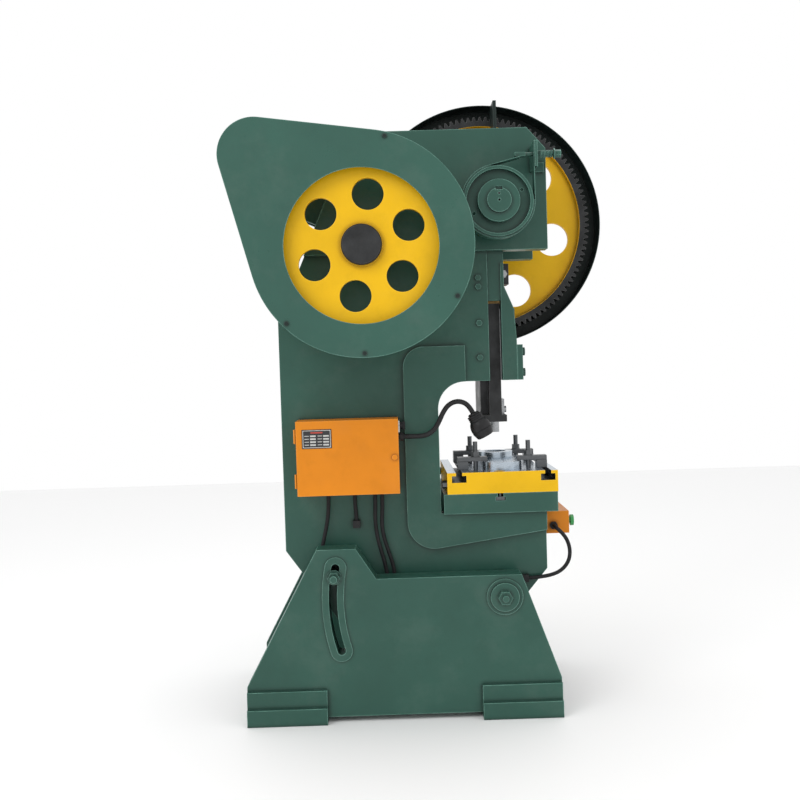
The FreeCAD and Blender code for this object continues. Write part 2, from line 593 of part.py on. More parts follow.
def frame_fittings():
    """Bushes, bearings, bolts and the plate that ties the two front columns."""
    bushes, bearings, bolts, washers, nuts, gibs = [], [], [], [], [], {"rear": [], "front": []}
    plate_holes, plate_bolts, gib_bolts = [], [], []
    for side, tag in SIDES:
        bushes.append(ring(tag + "_crank_bush", "Y", ("crank_at", "crank_height"),
                           sided(side, "bush_inner_end", "boss_outer + 4"),
                           "journal + bush_wall", "journal + run_gap"))
        bearings.append(ring(tag + "_bearing", "Y", ("drive_at", "drive_height"),
                             sided(side, "boss_outer - bearing_wide", "boss_outer"),
                             "bearing_outer", "shaft + run_gap"))
        at = ("tilt_at", "tilt_height")
        face = "leg_outer + slot_pad_rise + side_gap"
        bolts.append(rod(tag + "_tilt_stud", "Y", at, sided(side, "web_inner", face + " + 42"),
                         "slot_bolt"))
        washers.append(ring(tag + "_tilt_washer", "Y", at, sided(side, face, face + " + 4"),
                            "24.5", "slot_bolt"))
        nuts.append(cut(tag + "_tilt_nut",
                        hexagon(tag + "_tilt_hex", "Y", at, sided(side, face + " + 4", face + " + 23"),
                                "36"),
                        rod(tag + "_tilt_thread", "Y", at, sided(side, face, face + " + 40"),
                            "slot_bolt")))
        gib_side = sided(side, "guide_inner", "wing_half")
        gibs["rear"].append(box(tag + "_rear_gib", ("wing_rear - gib_thick", "wing_rear - way_gap"),
                                gib_side, ("guide_bottom", "bridge_low")))
        gibs["front"].append(box(tag + "_front_gib", ("wing_front + way_gap",
                                                      "wing_front + gib_thick"),
                                 gib_side, ("guide_bottom", "column_slope_low")))
        out = "web_outer" if side > 0 else "-web_outer"
        gib_bolts += [hex_bolt("%s_gib_bolt%d" % (tag, i), "Y", (GIB_BOLT_AT, up), out, side,
                               "60", "19", "9", "7") for i, up in enumerate(GIB_BOLT_UP)]
        for i, (across, up) in enumerate(TIE_PLATE_BOLTS):
            at = ("%d * %s" % (side, across), up)
            plate_holes.append(rod("%s_tie_hole%d" % (tag, i), "X", at,
                                   ("column_front - 1", "column_front + tie_plate + 1"), "8"))
            plate_bolts.append(hex_bolt("%s_tie_bolt%d" % (tag, i), "X", at,
                                        "column_front + tie_plate", 1, "45", "24", "10", "8"))
    keep(group("crank_bush_pair", bushes), "crank_bushes")
    keep(group("bearing_pair", bearings), "drive_bearings")
    keep(group("tilt_studs", bolts), "tilt_lock_bolts")
    keep(group("tilt_washers", washers), "tilt_lock_bolts")
    keep(group("tilt_nuts", nuts), "tilt_lock_bolts")
    keep(group("rear_gib_pair", gibs["rear"]), "slide_gibs")
    keep(group("front_gib_pair", gibs["front"]), "slide_gibs")
    keep(group("gib_bolt_set", gib_bolts), "guide_bolts")
    blank = box("tie_blank", ("column_front", "column_front + tie_plate"),
                ("-web_outer", "web_outer"), ("guide_bottom", "tie_plate_top"))
    keep(cut("front_plate", blank, *plate_holes), "front_tie_plate")
    keep(group("plate_bolt_set", plate_bolts), "guide_bolts")


# ---------------------------------------------------------------- crank, rod and slide

def crankshaft():
    main = ("crank_at", "crank_height")
    pin = ("crank_at", "pin_height")
    shaft = turned("crank_turned", "Y", main, [
        (0, "-crank_near_end"), ("crank_end", "-crank_near_end"),
        ("crank_end", "-(boss_outer + 8)"), ("journal", "-(boss_outer + 8)"),
        ("journal", "-web_end"), ("crank_web", "-web_end"), ("crank_web", "-web_start"),
        (0, "-web_start")])
    far = turned("crank_far", "Y", main, [
        (0, "web_start"), ("crank_web", "web_start"), ("crank_web", "web_end"),
        ("journal", "web_end"), ("journal", "boss_outer + 8"), ("crank_end", "boss_outer + 8"),
        ("crank_end", "crank_far_end"), (0, "crank_far_end")])
    throw = rod("crank_throw", "Y", pin, ("-web_start - 1", "web_start + 1"), "crank_pin")
    near = "-crank_near_end"
    centre_hole = rod("centre_hole", "Y", main, (near + " - 1", near + " + 12"), "4")
    oil_hole = rod("oil_hole", "Y", ("crank_at", "crank_height + 21"), (near + " - 1", near + " + 30"),
                   "3.5")
    keyway = box("keyway", ("crank_at - 11", "crank_at + 11"), (near + " - 1", near + " + 95"),
                 ("crank_height + crank_end - 7", "crank_height + crank_end + 1"))
    keep(cut("crank", fuse("crank_blank", shaft, throw, far), centre_hole, oil_hole, keyway),
         "crankshaft")


def connecting_rod():
    pin = ("crank_at", "pin_height")
    half = ("-rod_half", "rod_half")
    seat = "crank_pin + run_gap + shell_wall"
    bore = rod("rod_bore", "Y", pin, ("-rod_half - 1", "rod_half + 1"), seat)
    lower = fuse("rod_blank", rod("rod_eye", "Y", pin, half, "big_end"),
                 box("rod_shoulders", ("crank_at - big_end - 14", "crank_at + big_end + 14"), half,
                     ("pin_height - 32", "pin_height")),
                 box("rod_shank", ("crank_at - rod_side", "crank_at + rod_side"), ("-46", "46"),
                     ("clamp_high - 1", "pin_height")),
                 box("rod_clamp", ("crank_at - clamp_half", "crank_at + clamp_half"), ("-52", "52"),
                     ("clamp_low", "clamp_high")))
    above = box("above_split", ("crank_at - 200", "crank_at + 200"), ("-90", "90"),
                ("pin_height", "pin_height + 200"))
    thread = rod("screw_hole", "Z", ("crank_at", "0"), ("clamp_low - 1", "crank_height - 40"), "screw + 0.1")
    slit = box("clamp_slit", ("crank_at", "crank_at + clamp_half + 1"), ("-1.5", "1.5"),
               ("clamp_low - 1", "clamp_high + 60"))
    lock_at = ("crank_at + 40", "(clamp_low + clamp_high) / 2")
    lock_hole = rod("lock_hole", "Y", lock_at, ("-60", "60"), "8")
    bolt_holes, bolts = [], []
    for i, sign in enumerate((-1, 1)):
        for j, across in enumerate((-34, 34)):
            at = ("crank_at + %d * (big_end + 1)" % sign, str(across))
            bolt_holes.append(rod("cap_hole%d%d" % (i, j), "Z", at,
                                  ("pin_height - 40", "pin_height + 60"), "7"))
            bolts.append(hex_bolt("cap_bolt%d%d" % (i, j), "Z", at, "pin_height + 34", 1, "58",
                                  "22", "9", "7"))
    keep(cut("rod_body", lower, above, bore, thread, slit, lock_hole, *bolt_holes), "connecting_rod")
    cap = fuse("cap_blank", rod("cap_eye", "Y", pin, half, "big_end"),
               box("cap_shoulders", ("crank_at - big_end - 14", "crank_at + big_end + 14"), half,
                   ("pin_height", "pin_height + 34")))
    below = box("below_split", ("crank_at - 200", "crank_at + 200"), ("-90", "90"),
                ("pin_height - 200", "pin_height + rod_split_gap"))
    cap_bore = rod("cap_bore", "Y", pin, ("-rod_half - 1", "rod_half + 1"), seat)
    cap_holes = [rod("cap_top_hole%d%d" % (i, j), "Z",
                     ("crank_at + %d * (big_end + 1)" % sign, str(across)),
                     ("pin_height - 1", "pin_height + 60"), "7")
                 for i, sign in enumerate((-1, 1)) for j, across in enumerate((-34, 34))]
    spot_faces = [rod("cap_spot%d%d" % (i, j), "Z",
                      ("crank_at + %d * (big_end + 1)" % sign, str(across)),
                      ("pin_height + 34", "pin_height + 80"), "13")
                  for i, sign in enumerate((-1, 1)) for j, across in enumerate((-34, 34))]
    keep(cut("rod_cap_body", cap, below, cap_bore, *cap_holes, *spot_faces), "rod_cap")
    keep(group("cap_bolt_set", bolts), "rod_bolts")
    shells = []
    for i, (low, high) in enumerate((("-200", "0"), ("rod_split_gap", "200"))):
        tubes = ring("shell_ring%d" % i, "Y", pin, ("-rod_half", "rod_half"), seat,
                     "crank_pin + run_gap")
        other = box("shell_side%d" % i, ("crank_at - 100", "crank_at + 100"), ("-90", "90"),
                    ("pin_height + %s" % low, "pin_height + %s" % high))
        both = add("Part::Common", "shell%d" % i)
        both.Base, both.Tool = tubes, other
        shells.append(both)
    keep(group("shell_pair", shells), "rod_shells")
    keep(fuse("lock_bolt", rod("lock_shank", "Y", lock_at, ("-52", "66"), "8"),
              hexagon("lock_head", "Y", lock_at, ("-64", "-52"), "26"),
              hexagon("lock_nut", "Y", lock_at, ("52", "64"), "26")), "rod_bolts")
    keep(cut("screw_body", fuse(
        "screw_blank", rod("screw_stem", "Z", ("crank_at", "0"),
                           ("ball_height + 20", "crank_height - 60"), "screw"),
        ball_at("ball_head", "ball")),
        box("screw_flat", ("crank_at + screw - 5", "crank_at + screw + 1"), ("-9", "9"),
            ("clamp_low - 30", "clamp_low - 8"))), "adjusting_screw")


def ball_at(name, radius):
    ball = add("Part::Sphere", name)
    bind(ball, "Radius", radius)
    return move_to(ball, ("crank_at", "0", "ball_height"))


def slide():
    half = ("-slide_half", "slide_half")
    solids = [
        box("slide_wings", ("wing_rear", "wing_front"), ("-wing_half", "wing_half"),
            ("slide_bottom", "slide_top")),
        box("slide_neck", ("column_rear", "wing_front"), half, ("slide_bottom", "block_low + 10")),
        box("slide_block", ("block_rear", "block_front"), half, ("block_low", "slide_top")),
        box("slide_foot", ("column_rear", "foot_front"), ("-wing_half", "wing_half"),
            ("slide_bottom", "foot_top"))]
    pocket = box("slide_pocket", ("crank_at - pocket_rear", "crank_at + pocket_front"),
                 ("-pocket_side", "pocket_side"), ("pocket_floor", "slide_top + 1"))
    shank = rod("slide_bore", "Z", ("crank_at", "0"),
                ("slide_bottom - 1", "slide_bottom + shank_deep"), "shank_hole")
    clamp_space = box("clamp_space", ("wing_front - 6", "foot_front + 1"), ("-70", "70"),
                      ("slide_bottom - 1", "slide_bottom + 75"))
    holes = [rod("clamp_tap%d" % i, "X", (str(across), "slide_bottom + 38"),
                 ("column_rear + 15", "wing_front"), "6") for i, across in enumerate((-48, 48))]
    screw_holes = [rod("retainer_tap%d%d" % (i, j), "Z", ("crank_at + %d" % along, str(across)),
                       ("slide_top - 26", "slide_top + 1"), "5")
                   for i, along in enumerate((-40, 30)) for j, across in enumerate((-62, 62))]
    keep(cut("slide_body", fuse("slide_blank", *solids), pocket, shank, clamp_space, *holes,
             *screw_holes), "slide")
    clamp = cut("clamp_body", box("clamp_blank", ("wing_front - 6", "foot_front"), ("-69.9", "69.9"),
                                  ("slide_bottom", "slide_bottom + 74.9")),
                rod("clamp_relief", "Z", ("crank_at", "0"), ("slide_bottom - 1", "slide_bottom + 80"),
                    "shank_hole"),
                *[rod("clamp_hole%d" % i, "X", (str(across), "slide_bottom + 38"),
                      ("wing_front - 10", "foot_front + 1"), "6") for i, across in enumerate((-48, 48))])
    keep(clamp, "shank_clamp")
    keep(group("clamp_bolt_pair", [hex_bolt("clamp_bolt%d" % i, "X", (str(across), "slide_bottom + 38"),
                                            "foot_front", 1, "50", "19", "8", "6")
                                   for i, across in enumerate((-48, 48))]), "slide_bolts")
    low = "slide_bottom - sleeve_out"
    sleeve = turned("sleeve_turned", "Z", ("crank_at", "0"), [
        ("sleeve_bore", low), ("sleeve_small", low), ("sleeve_small", "slide_bottom - 2"),
        ("sleeve_small + 6", "slide_bottom - 2"), ("sleeve_small + 6", "slide_bottom"),
        ("shank_hole - run_gap", "slide_bottom"),
        ("shank_hole - run_gap", "slide_bottom + shank_deep - 0.5"),
        ("sleeve_bore", "slide_bottom + shank_deep - 0.5")])
    keep(sleeve, "shank_sleeve")
    keep(box("seat_block", ("crank_at - pocket_rear", "crank_at + pocket_front"),
             ("-pocket_side", "pocket_side"), ("pocket_floor", "pocket_floor + seat_thick")),
         "ball_socket")
    opening = [box("retainer_slot", ("crank_at - 36", "crank_at"),
                   ("-screw - 1", "screw + 1"), ("slide_top - 1", "slide_top + 20")),
               rod("retainer_round", "Z", ("crank_at", "0"), ("slide_top - 1", "slide_top + 20"),
                   "screw + 1"),
               rod("retainer_end", "Z", ("crank_at - 36", "0"), ("slide_top - 1", "slide_top + 20"),
                   "screw + 1")]
    opening += [rod("retainer_hole%d%d" % (i, j), "Z", ("crank_at + %d" % along, str(across)),
                    ("slide_top - 1", "slide_top + 20"), "5")
                for i, along in enumerate((-40, 30)) for j, across in enumerate((-62, 62))]
    top = cut("retainer_body", box("retainer_blank", ("block_rear", "block_front"), ("-80", "80"),
                                   ("slide_top", "slide_top + retainer_thick")), *opening)
    keep(top, "ball_socket")
    keep(group("retainer_bolt_set", [
        hex_bolt("retainer_bolt%d%d" % (i, j), "Z", ("crank_at + %d" % along, str(across)),
                 "slide_top + retainer_thick", 1, "36", "16", "7", "5")
        for i, along in enumerate((-40, 30)) for j, across in enumerate((-62, 62))]),
        "slide_bolts")


# ---------------------------------------------------------------- brake

def brake_band_shape(inner, outer):
    """A strap that comes straight down, wraps the drum and leaves tangent at the upper left."""
    x, z = size["crank_at"], size["crank_height"]
    near, wide = -size["band_near"], size["band_near"] - size["band_far"]
    leave = math.radians(104)
    top = FreeCAD.Vector(0, 0, size["anchor_top"] - z)
    away = FreeCAD.Vector(math.sin(leave), 0, -math.cos(leave)) * (size["drum"] * 0.94)

    def on(radius, angle):
        return FreeCAD.Vector(radius * math.cos(angle), 0, radius * math.sin(angle))

    start = [on(r, 0) for r in (inner, outer)]
    end = [on(r, leave) for r in (inner, outer)]
    middle = [on(r, math.radians(232)) for r in (inner, outer)]
    edges = [Part.Arc(start[0], middle[0], end[0]).toShape(),
             Part.LineSegment(end[0], end[0] + away).toShape(),
             Part.LineSegment(end[0] + away, end[1] + away).toShape(),
             Part.LineSegment(end[1] + away, end[1]).toShape(),
             Part.Arc(end[1], middle[1], start[1]).toShape(),
             Part.LineSegment(start[1], start[1] + top).toShape(),
             Part.LineSegment(start[1] + top, start[0] + top).toShape(),
             Part.LineSegment(start[0] + top, start[0]).toShape()]
    face = Part.Face(Part.Wire(Part.__sortEdges__(edges)))
    solid = face.extrude(FreeCAD.Vector(0, wide, 0))
    solid.translate(FreeCAD.Vector(x, near, z))
    return solid


def brake():
    main = ("crank_at", "crank_height")
    drum = turned("drum_turned", "Y", main, [
        ("crank_end + run_gap", "-drum_hub_near"), ("drum_hub", "-drum_hub_near"),
        ("drum_hub", "-(drum_web + drum_web_thick)"), ("drum_inner", "-(drum_web + drum_web_thick)"),
        ("drum_inner", "-drum_near"), ("drum", "-drum_near"), ("drum", "-drum_far"),
        ("drum_inner", "-drum_far"), ("drum_inner", "-drum_web"), ("drum_hub", "-drum_web"),
        ("drum_hub", "-drum_far"), ("crank_end + run_gap", "-drum_far")])
    pins = [rod("drum_hole%d" % i, "Y", ("crank_at + %.3f" % (86 * math.cos(a)),
                                         "crank_height + %.3f" % (86 * math.sin(a))),
                ("-drum_near - 20", "-drum_web + 20"), "5")
            for i, a in enumerate((math.radians(25), math.radians(205)))]
    slot = box("drum_keyway", ("crank_at - 11", "crank_at + 11"),
               ("-drum_hub_near - 1", "-drum_far + 1"),
               ("crank_height + crank_end - 3", "crank_height + crank_end + 4"))
    keep(cut("drum_body", drum, slot, *pins), "brake_drum")
    keep(box("drum_key_bar", ("crank_at - 10.95", "crank_at + 10.95"), ("-drum_hub_near + 4", "-drum_far"),
             ("crank_height + crank_end - 7", "crank_height + crank_end + 3.9")), "crank_end_fittings")
    inner = size["drum"] + size["band_gap"]
    middle = inner + size["lining"]
    whole = brake_band_shape(middle, middle + size["band"])
    lining = ring("lining_ring", "Y", main, ("-band_near", "-band_far"),
                  "drum + band_gap + lining - 0.1", "drum + band_gap")
    gap_box = box("lining_gap", ("crank_at - 20", "crank_at + 200"), ("-band_near - 5", "-band_far + 5"),
                  ("crank_height + 2", "crank_height + 200"))
    keep(cut("lining_open", lining, gap_box), "brake_band")
    right = middle + size["band"]
    x = "crank_at + %s" % repr(round(right, 3))
    wall = box("anchor_wall", (x, x + " + 10"), ("-band_near - 4", "-head_outer"),
               ("anchor_height - 42", "anchor_top"))
    foot = box("anchor_foot", (x, x + " + 46"), ("-head_outer - 10", "-head_outer"),
               ("anchor_height - 42", "anchor_height - 10"))
    lug_hole = rod("anchor_hole_round", "X", ("-(band_near + band_far) / 2", "anchor_height"),
                   ("crank_at", "head_front"), "8")
    strap_hole = rod("strap_hole", "X", ("-(band_near + band_far) / 2", "anchor_height"),
                     ("crank_at + 60", "head_front"), "8")
    keep(cut("anchor_body", fuse("anchor_blank", wall, foot), lug_hole), "brake_anchor")
    keep(cut("band_drilled", made("band_strap", whole), strap_hole), "brake_band")
    line = ("-(band_near + band_far) / 2", "anchor_height")
    start = "crank_at + 84"
    keep(fuse("pull_rod", rod("pull_stem", "X", line, (start, x + " + 88"), "6.5"),
              box("pull_fork", (start + " - 26", start + " + 8"),
                  ("-(band_near + band_far) / 2 - 13", "-(band_near + band_far) / 2 + 13"),
                  ("anchor_height - 7.5", "anchor_height + 6"))), "brake_tension_rod")
    centre = (number(x) + 11.8, number(line[0]), number(line[1]))
    keep(spring("pull_spring", centre, 51, 10.2, 1.7, 11), "brake_tension_rod")
    nuts = []
    for i, (low, high, flats) in enumerate((("64.8", "68.8", "30"), ("68.8", "80", "22"),
                                            ("80.4", "88", "22"))):
        blank = hexagon("pull_nut%d_hex" % i, "X", line, (x + " + " + low, x + " + " + high), flats)
        nuts.append(cut("pull_nut%d" % i, blank,
                        rod("pull_nut%d_bore" % i, "X", line, (x, x + " + 100"), "6.55")))
    keep(group("pull_nuts", nuts), "brake_tension_rod")


# ---------------------------------------------------------------- drive

def holes_round(name, centre, circle, radius, count, first, span):
    found = []
    for i in range(int(count)):
        angle = math.radians(first + 360.0 * i / count)
        at = ("%s + %s * %.9f" % (centre[0], circle, math.cos(angle)),
              "%s + %s * %.9f" % (centre[1], circle, math.sin(angle)))
        found.append(rod("%s%d" % (name, i), "Y", at, span, radius))
    return found


def gears():
    main = ("crank_at", "crank_height")
    toward = math.radians(size["drive_angle"])
    teeth, pinion_teeth = int(size["gear_teeth"]), int(size["pinion_teeth"])
    near, deep = size["gear_near"], size["gear_far"] - size["gear_near"]
    toothed = Part.Face(tooth_outline(teeth, toward + math.pi / teeth, near))
    blank = made("gear_toothed", toothed.extrude(FreeCAD.Vector(0, deep, 0)))
    move_to(blank, ("crank_at", "0", "crank_height"))
    hollows = [ring("gear_recess%d" % i, "Y", main, span, "gear_rim_inner", "gear_hub")
               for i, span in enumerate((("gear_near - 1", "gear_web_near"),
                                         ("gear_web_far", "gear_far + 1")))]
    bore = rod("gear_bore", "Y", main, ("gear_near - 1", "gear_far + 1"), "crank_end + run_gap")
    windows = holes_round("gear_window", main, "gear_hole_circle", "gear_hole",
                          size["gear_hole_count"], -12, ("gear_near - 1", "gear_far + 1"))
    keep(cut("gear_body", blank, bore, *(hollows + windows)), "bull_gear")
    keep(fuse("retainer_disc",
              rod("retainer_plate", "Y", main, ("crank_far_end", "crank_far_end + 12"), "64"),
              rod("retainer_hub", "Y", main, ("crank_far_end + 12", "crank_far_end + 20"), "30")),
         "crank_end_fittings")
    axis = ("drive_at", "drive_height")
    outline = Part.Face(tooth_outline(pinion_teeth, toward + math.pi, near - 4))
    pinion = made("pinion_toothed", outline.extrude(FreeCAD.Vector(0, deep + 8, 0)))
    move_to(pinion, ("drive_at", "0", "drive_height"))
    keep(cut("pinion_body", pinion, rod("pinion_bore", "Y", axis, ("gear_near - 10", "gear_far + 10"),
                                        "shaft")), "drive_pinion")
    keep(rod("shaft_bar", "Y", axis, ("-shaft_near_end", "shaft_far_end"), "shaft"), "drive_shaft")


def belt_rows():
    middle = -(size["wheel_near"] + size["wheel_far"]) / 2
    count = int(size["belt_count"])
    return [middle + (i - (count - 1) / 2) * size["belt_pitch"] for i in range(count)]


def grooved(radius, near, far):
    """A rim outline from near to far with one trapezoid groove for each belt."""
    deep, half = size["belt_deep"], size["belt_wide"] / 2
    lean = deep * math.tan(math.radians(18))
    points = [(radius, near)]
    for row in belt_rows():
        for reach, side in ((0, -1), (1, -1), (1, 1), (0, 1)):
            points.append((radius - reach * (deep + 2), row + side * (half - reach * lean)))
    return points + [(radius, far)]


def bound_rim(points, name, first, last):
    """The same rim with its radius and end planes as formulas."""
    out = []
    for i, (radius, y) in enumerate(points):
        across = {0: first, len(points) - 1: last}.get(i, repr(round(y, 4)))
        out.append(("%s - %s" % (name, repr(round(size[name] - radius, 4))), across))
    return out


def flywheel():
    axis = ("drive_at", "drive_height")
    rim = bound_rim(grooved(size["wheel"], -size["wheel_near"], -size["wheel_far"]), "wheel",
                    "-wheel_near", "-wheel_far")
    profile = rim + [("wheel_rim_inner", "-wheel_far"), ("wheel_rim_inner", "-wheel_web_far"),
                     ("wheel_hub", "-wheel_web_far"), ("wheel_hub", "-wheel_hub_far"),
                     ("shaft", "-wheel_hub_far"), ("shaft", "-wheel_hub_near"),
                     ("wheel_hub", "-wheel_hub_near"), ("wheel_hub", "-wheel_web_near"),
                     ("wheel_rim_inner", "-wheel_web_near"), ("wheel_rim_inner", "-wheel_near")]
    windows = holes_round("wheel_window", axis, "wheel_hole_circle", "wheel_hole",
                          size["wheel_hole_count"], 81.4, ("-wheel_near - 1", "-wheel_far + 1"))
    keep(cut("wheel_body", turned("wheel_turned", "Y", axis, profile), *windows), "flywheel")
    keep(turned("cap_turned", "Y", axis, [
        (0, "-(shaft_near_end + cap_thick)"), ("cap_radius - 4", "-(shaft_near_end + cap_thick)"),
        ("cap_radius", "-(shaft_near_end + cap_thick - 4)"), ("cap_radius", "-shaft_near_end"),
        (0, "-shaft_near_end")]), "flywheel_cap")


def motor():
    """A foot-mounted motor behind the head, its shaft along Y, on a plate held off the slope."""
    at, up = size["motor_at"], size["motor_height"]
    axis = ("motor_at", "motor_height")
    run, rise = size["slope_run"], size["slope_rise"]
    outward = (-rise, run)
    lean = math.degrees(math.atan2(run, rise))
    depth = (at - size["back_edge"]) * outward[0] + (up - size["back_high"]) * outward[1]
    along = (at - size["back_edge"]) * run + (up - size["back_high"]) * rise
    roll = FreeCAD.Rotation(FreeCAD.Vector(0, 1, 0), lean)

    def leaning(name, out, across, reach):
        """A block by its distance out from the slope, along Y, and up the slope."""
        block = add("Part::Box", name)
        block.Length, block.Width, block.Height = (out[1] - out[0], across[1] - across[0],
                                                   reach[1] - reach[0])
        x = size["back_edge"] + outward[0] * out[1] + run * reach[0]
        z = size["back_high"] + outward[1] * out[1] + rise * reach[0]
        block.Placement = FreeCAD.Placement(FreeCAD.Vector(x, across[0], z), roll)
        return block

    case, foot = size["motor_case"], size["motor_foot"]
    foot_out = depth - foot
    body = [rod("motor_barrel", "Y", axis, ("-motor_near + 50", "-motor_far + 30"), "motor_case - 8"),
            turned("motor_front", "Y", axis, [
                (0, "-motor_near"), ("motor_case - 40", "-motor_near"),
                ("motor_case - 30", "-motor_near + 20"), ("motor_case", "-motor_near + 22"),
                ("motor_case", "-motor_near + 51"), (0, "-motor_near + 51")]),
            turned("motor_fan_cover", "Y", axis, [
                (0, "-motor_far"), ("motor_case", "-motor_far"), ("motor_case", "-motor_far + 62"),
                ("motor_case - 12", "-motor_far + 74"), (0, "-motor_far + 74")]),
            leaning("motor_feet", (foot_out, foot_out + 14), (-size["motor_near"] + 60, -130),
                    (along - 90, along + 90)),
            leaning("motor_saddle", (foot_out + 1, depth - 50), (-size["motor_near"] + 60, -130),
                    (along - 60, along + 60)),
            leaning("terminal_box", (depth + case - 20, depth + case + 36), (-250, -150),
                    (along - 45, along + 45))]
    keep(fuse("motor_body", *body), "motor")
    base = leaning("plate_blank", (foot_out - 12, foot_out), (-size["motor_near"] + 40, -40),
                   (along - 120, along + 110))
    keep(base, "motor_bracket")
    arms = [leaning("arm%d" % i, (0, foot_out - 12), span, (along - 100, along + 90))
            for i, span in enumerate(((-150, -134), (-66, -50)))]
    pad = leaning("arm_pad", (0, 10), (-154, -46), (along - 110, along + 100))
    keep(fuse("bracket_body", pad, *arms), "motor_bracket")
    keep(rod("motor_spindle", "Y", axis, ("-wheel_near - 4", "-motor_near"), "motor_shaft"),
         "motor_pulley")
    rim = bound_rim(grooved(size["pulley"], -size["wheel_near"], -size["wheel_far"]), "pulley",
                    "-wheel_near", "-wheel_far")
    keep(turned("pulley_turned", "Y", axis, rim + [("motor_shaft", "-wheel_far"),
                                                   ("motor_shaft", "-wheel_near")]), "motor_pulley")
    belts = []
    far_circle = (size["drive_at"], size["drive_height"])
    near_circle = (at, up)
    proud, deep = size["belt_proud"], size["belt_deep"]
    for i, row in enumerate(belt_rows()):
        wires = []
        for reach, half in ((proud, size["belt_wide"] / 2 - size["belt_gap"]),
                            (proud - deep, size["belt_wide"] / 2 - size["belt_gap"] - 3.4)):
            for side in (-1, 1):
                wires.append(loop_wire(far_circle + (size["wheel"] + reach,),
                                       near_circle + (size["pulley"] + reach,), row + side * half))
        outer_near, outer_far, inner_near, inner_far = wires
        faces = [Part.makeRuledSurface(a, b) for a, b in
                 ((outer_near, outer_far), (outer_far, inner_far), (inner_far, inner_near),
                  (inner_near, outer_near))]
        shell = Part.makeShell([f for s in faces for f in s.Faces])
        belts.append(made("belt%d" % i, Part.makeSolid(shell)))
    keep(group("belt_set", belts), "v_belts")


# ---------------------------------------------------------------- guards

def belt_guard():
    drive = (size["drive_at"], size["drive_height"])
    motor_axis = (size["motor_at"], size["motor_height"])
    sheet, near = size["guard_sheet"], -size["guard_near"]
    deep = size["guard_near"] - size["guard_far"]
    outer = loop_solid(drive + (size["guard_big"],), motor_axis + (size["guard_small"],), near, deep)
    inner = loop_solid(drive + (size["guard_big"] - sheet,),
                       motor_axis + (size["guard_small"] - sheet,), near + sheet, deep)
    shell = cut("guard_shell", made("guard_outer", outer), made("guard_inner", inner),
                rod("guard_opening", "Y", ("drive_at", "drive_height - 6"),
                    ("-guard_near - 1", "-guard_near + 10"), "guard_open"))
    posts, screws, screw_holes = [], [], []
    for i, (angle, foot) in enumerate(((76, "head_outer"), (-30, "web_outer"), (-90, "web_outer"),
                                       (-135, "web_outer"))):
        turn = math.radians(angle)
        at = ("drive_at + post_circle * %.9f" % math.cos(turn),
              "drive_height + post_circle * %.9f" % math.sin(turn))
        posts.append(rod("post%d" % i, "Y", at, ("-guard_near + guard_sheet", "-%s" % foot), "post"))
        screw_holes.append(rod("post_hole%d" % i, "Y", at, ("-guard_near - 1", "-guard_near + 5"), "4"))
        screws.append(fuse("post_screw%d" % i,
                           hexagon("post_head%d" % i, "Y", at, ("-guard_near - 5", "-guard_near"), "13"),
                           rod("post_shank%d" % i, "Y", at,
                               ("-guard_near", "-guard_near + guard_sheet"), "4")))
    keep(cut("guard_body", shell, *screw_holes), "belt_guard")
    keep(group("post_set", posts), "guard_supports")
    keep(group("screw_set", screws), "guard_supports")


def gear_guard():
    crank = (size["crank_at"], size["crank_height"])
    drive = (size["drive_at"], size["drive_height"])
    sheet, near = size["ring_sheet"], size["ring_near"]
    deep = size["ring_far"] - near
    outer = loop_solid(crank + (size["ring_outer"],), drive + (size["ring_small"],), near, deep)
    inner = loop_solid(crank + (size["ring_outer"] - sheet,), drive + (size["ring_small"] - sheet,),
                       near - 1, deep + 1 - sheet)
    opening = rod("ring_opening", "Y", ("crank_at", "crank_height"), ("ring_near", "ring_far + 1"),
                  "ring_open")
    keep(cut("ring_shell", made("ring_outside", outer), made("ring_inside", inner), opening),
         "gear_guard")
    reach = size["ring_outer"] - size["ring_sheet"]
    arms = []
    top_x = ("crank_at + 44", "crank_at + 56")
    lift = math.sqrt(reach ** 2 - 56 ** 2)
    arms.append(box("arm_top", top_x, ("web_inner + 20", "gear_near - 6"),
                    ("head_top", "crank_height + %.3f" % lift)))
    for i, (angle, start, inner) in enumerate(((150, "head_outer", 330), (250, "web_outer", 330))):
        turn = FreeCAD.Rotation(FreeCAD.Vector(0, 1, 0), -angle)
        arm = add("Part::Box", "arm_side%d" % i)
        length = math.sqrt(reach ** 2 - 6 ** 2) - inner
        arm.Length, arm.Height = length, 12
        bind(arm, "Width", "gear_near - 6 - (%s)" % start)
        offset = turn.multVec(FreeCAD.Vector(inner, 0, -6))
        arm.Placement = FreeCAD.Placement(FreeCAD.Vector(), turn)
        bind(arm, "Placement.Base.x", "crank_at + (%.6f)" % offset.x)
        bind(arm, "Placement.Base.y", start)
        bind(arm, "Placement.Base.z", "crank_height + (%.6f)" % offset.z)
        arms.append(arm)
    keep(group("arm_set", arms), "guard_supports")


# ---------------------------------------------------------------- bolster and tooling

STUDS = (("bolster_rear + 105", -1), ("bolster_rear + 105", 1),
         ("bolster_front - 84", -1), ("bolster_front - 97", 1))


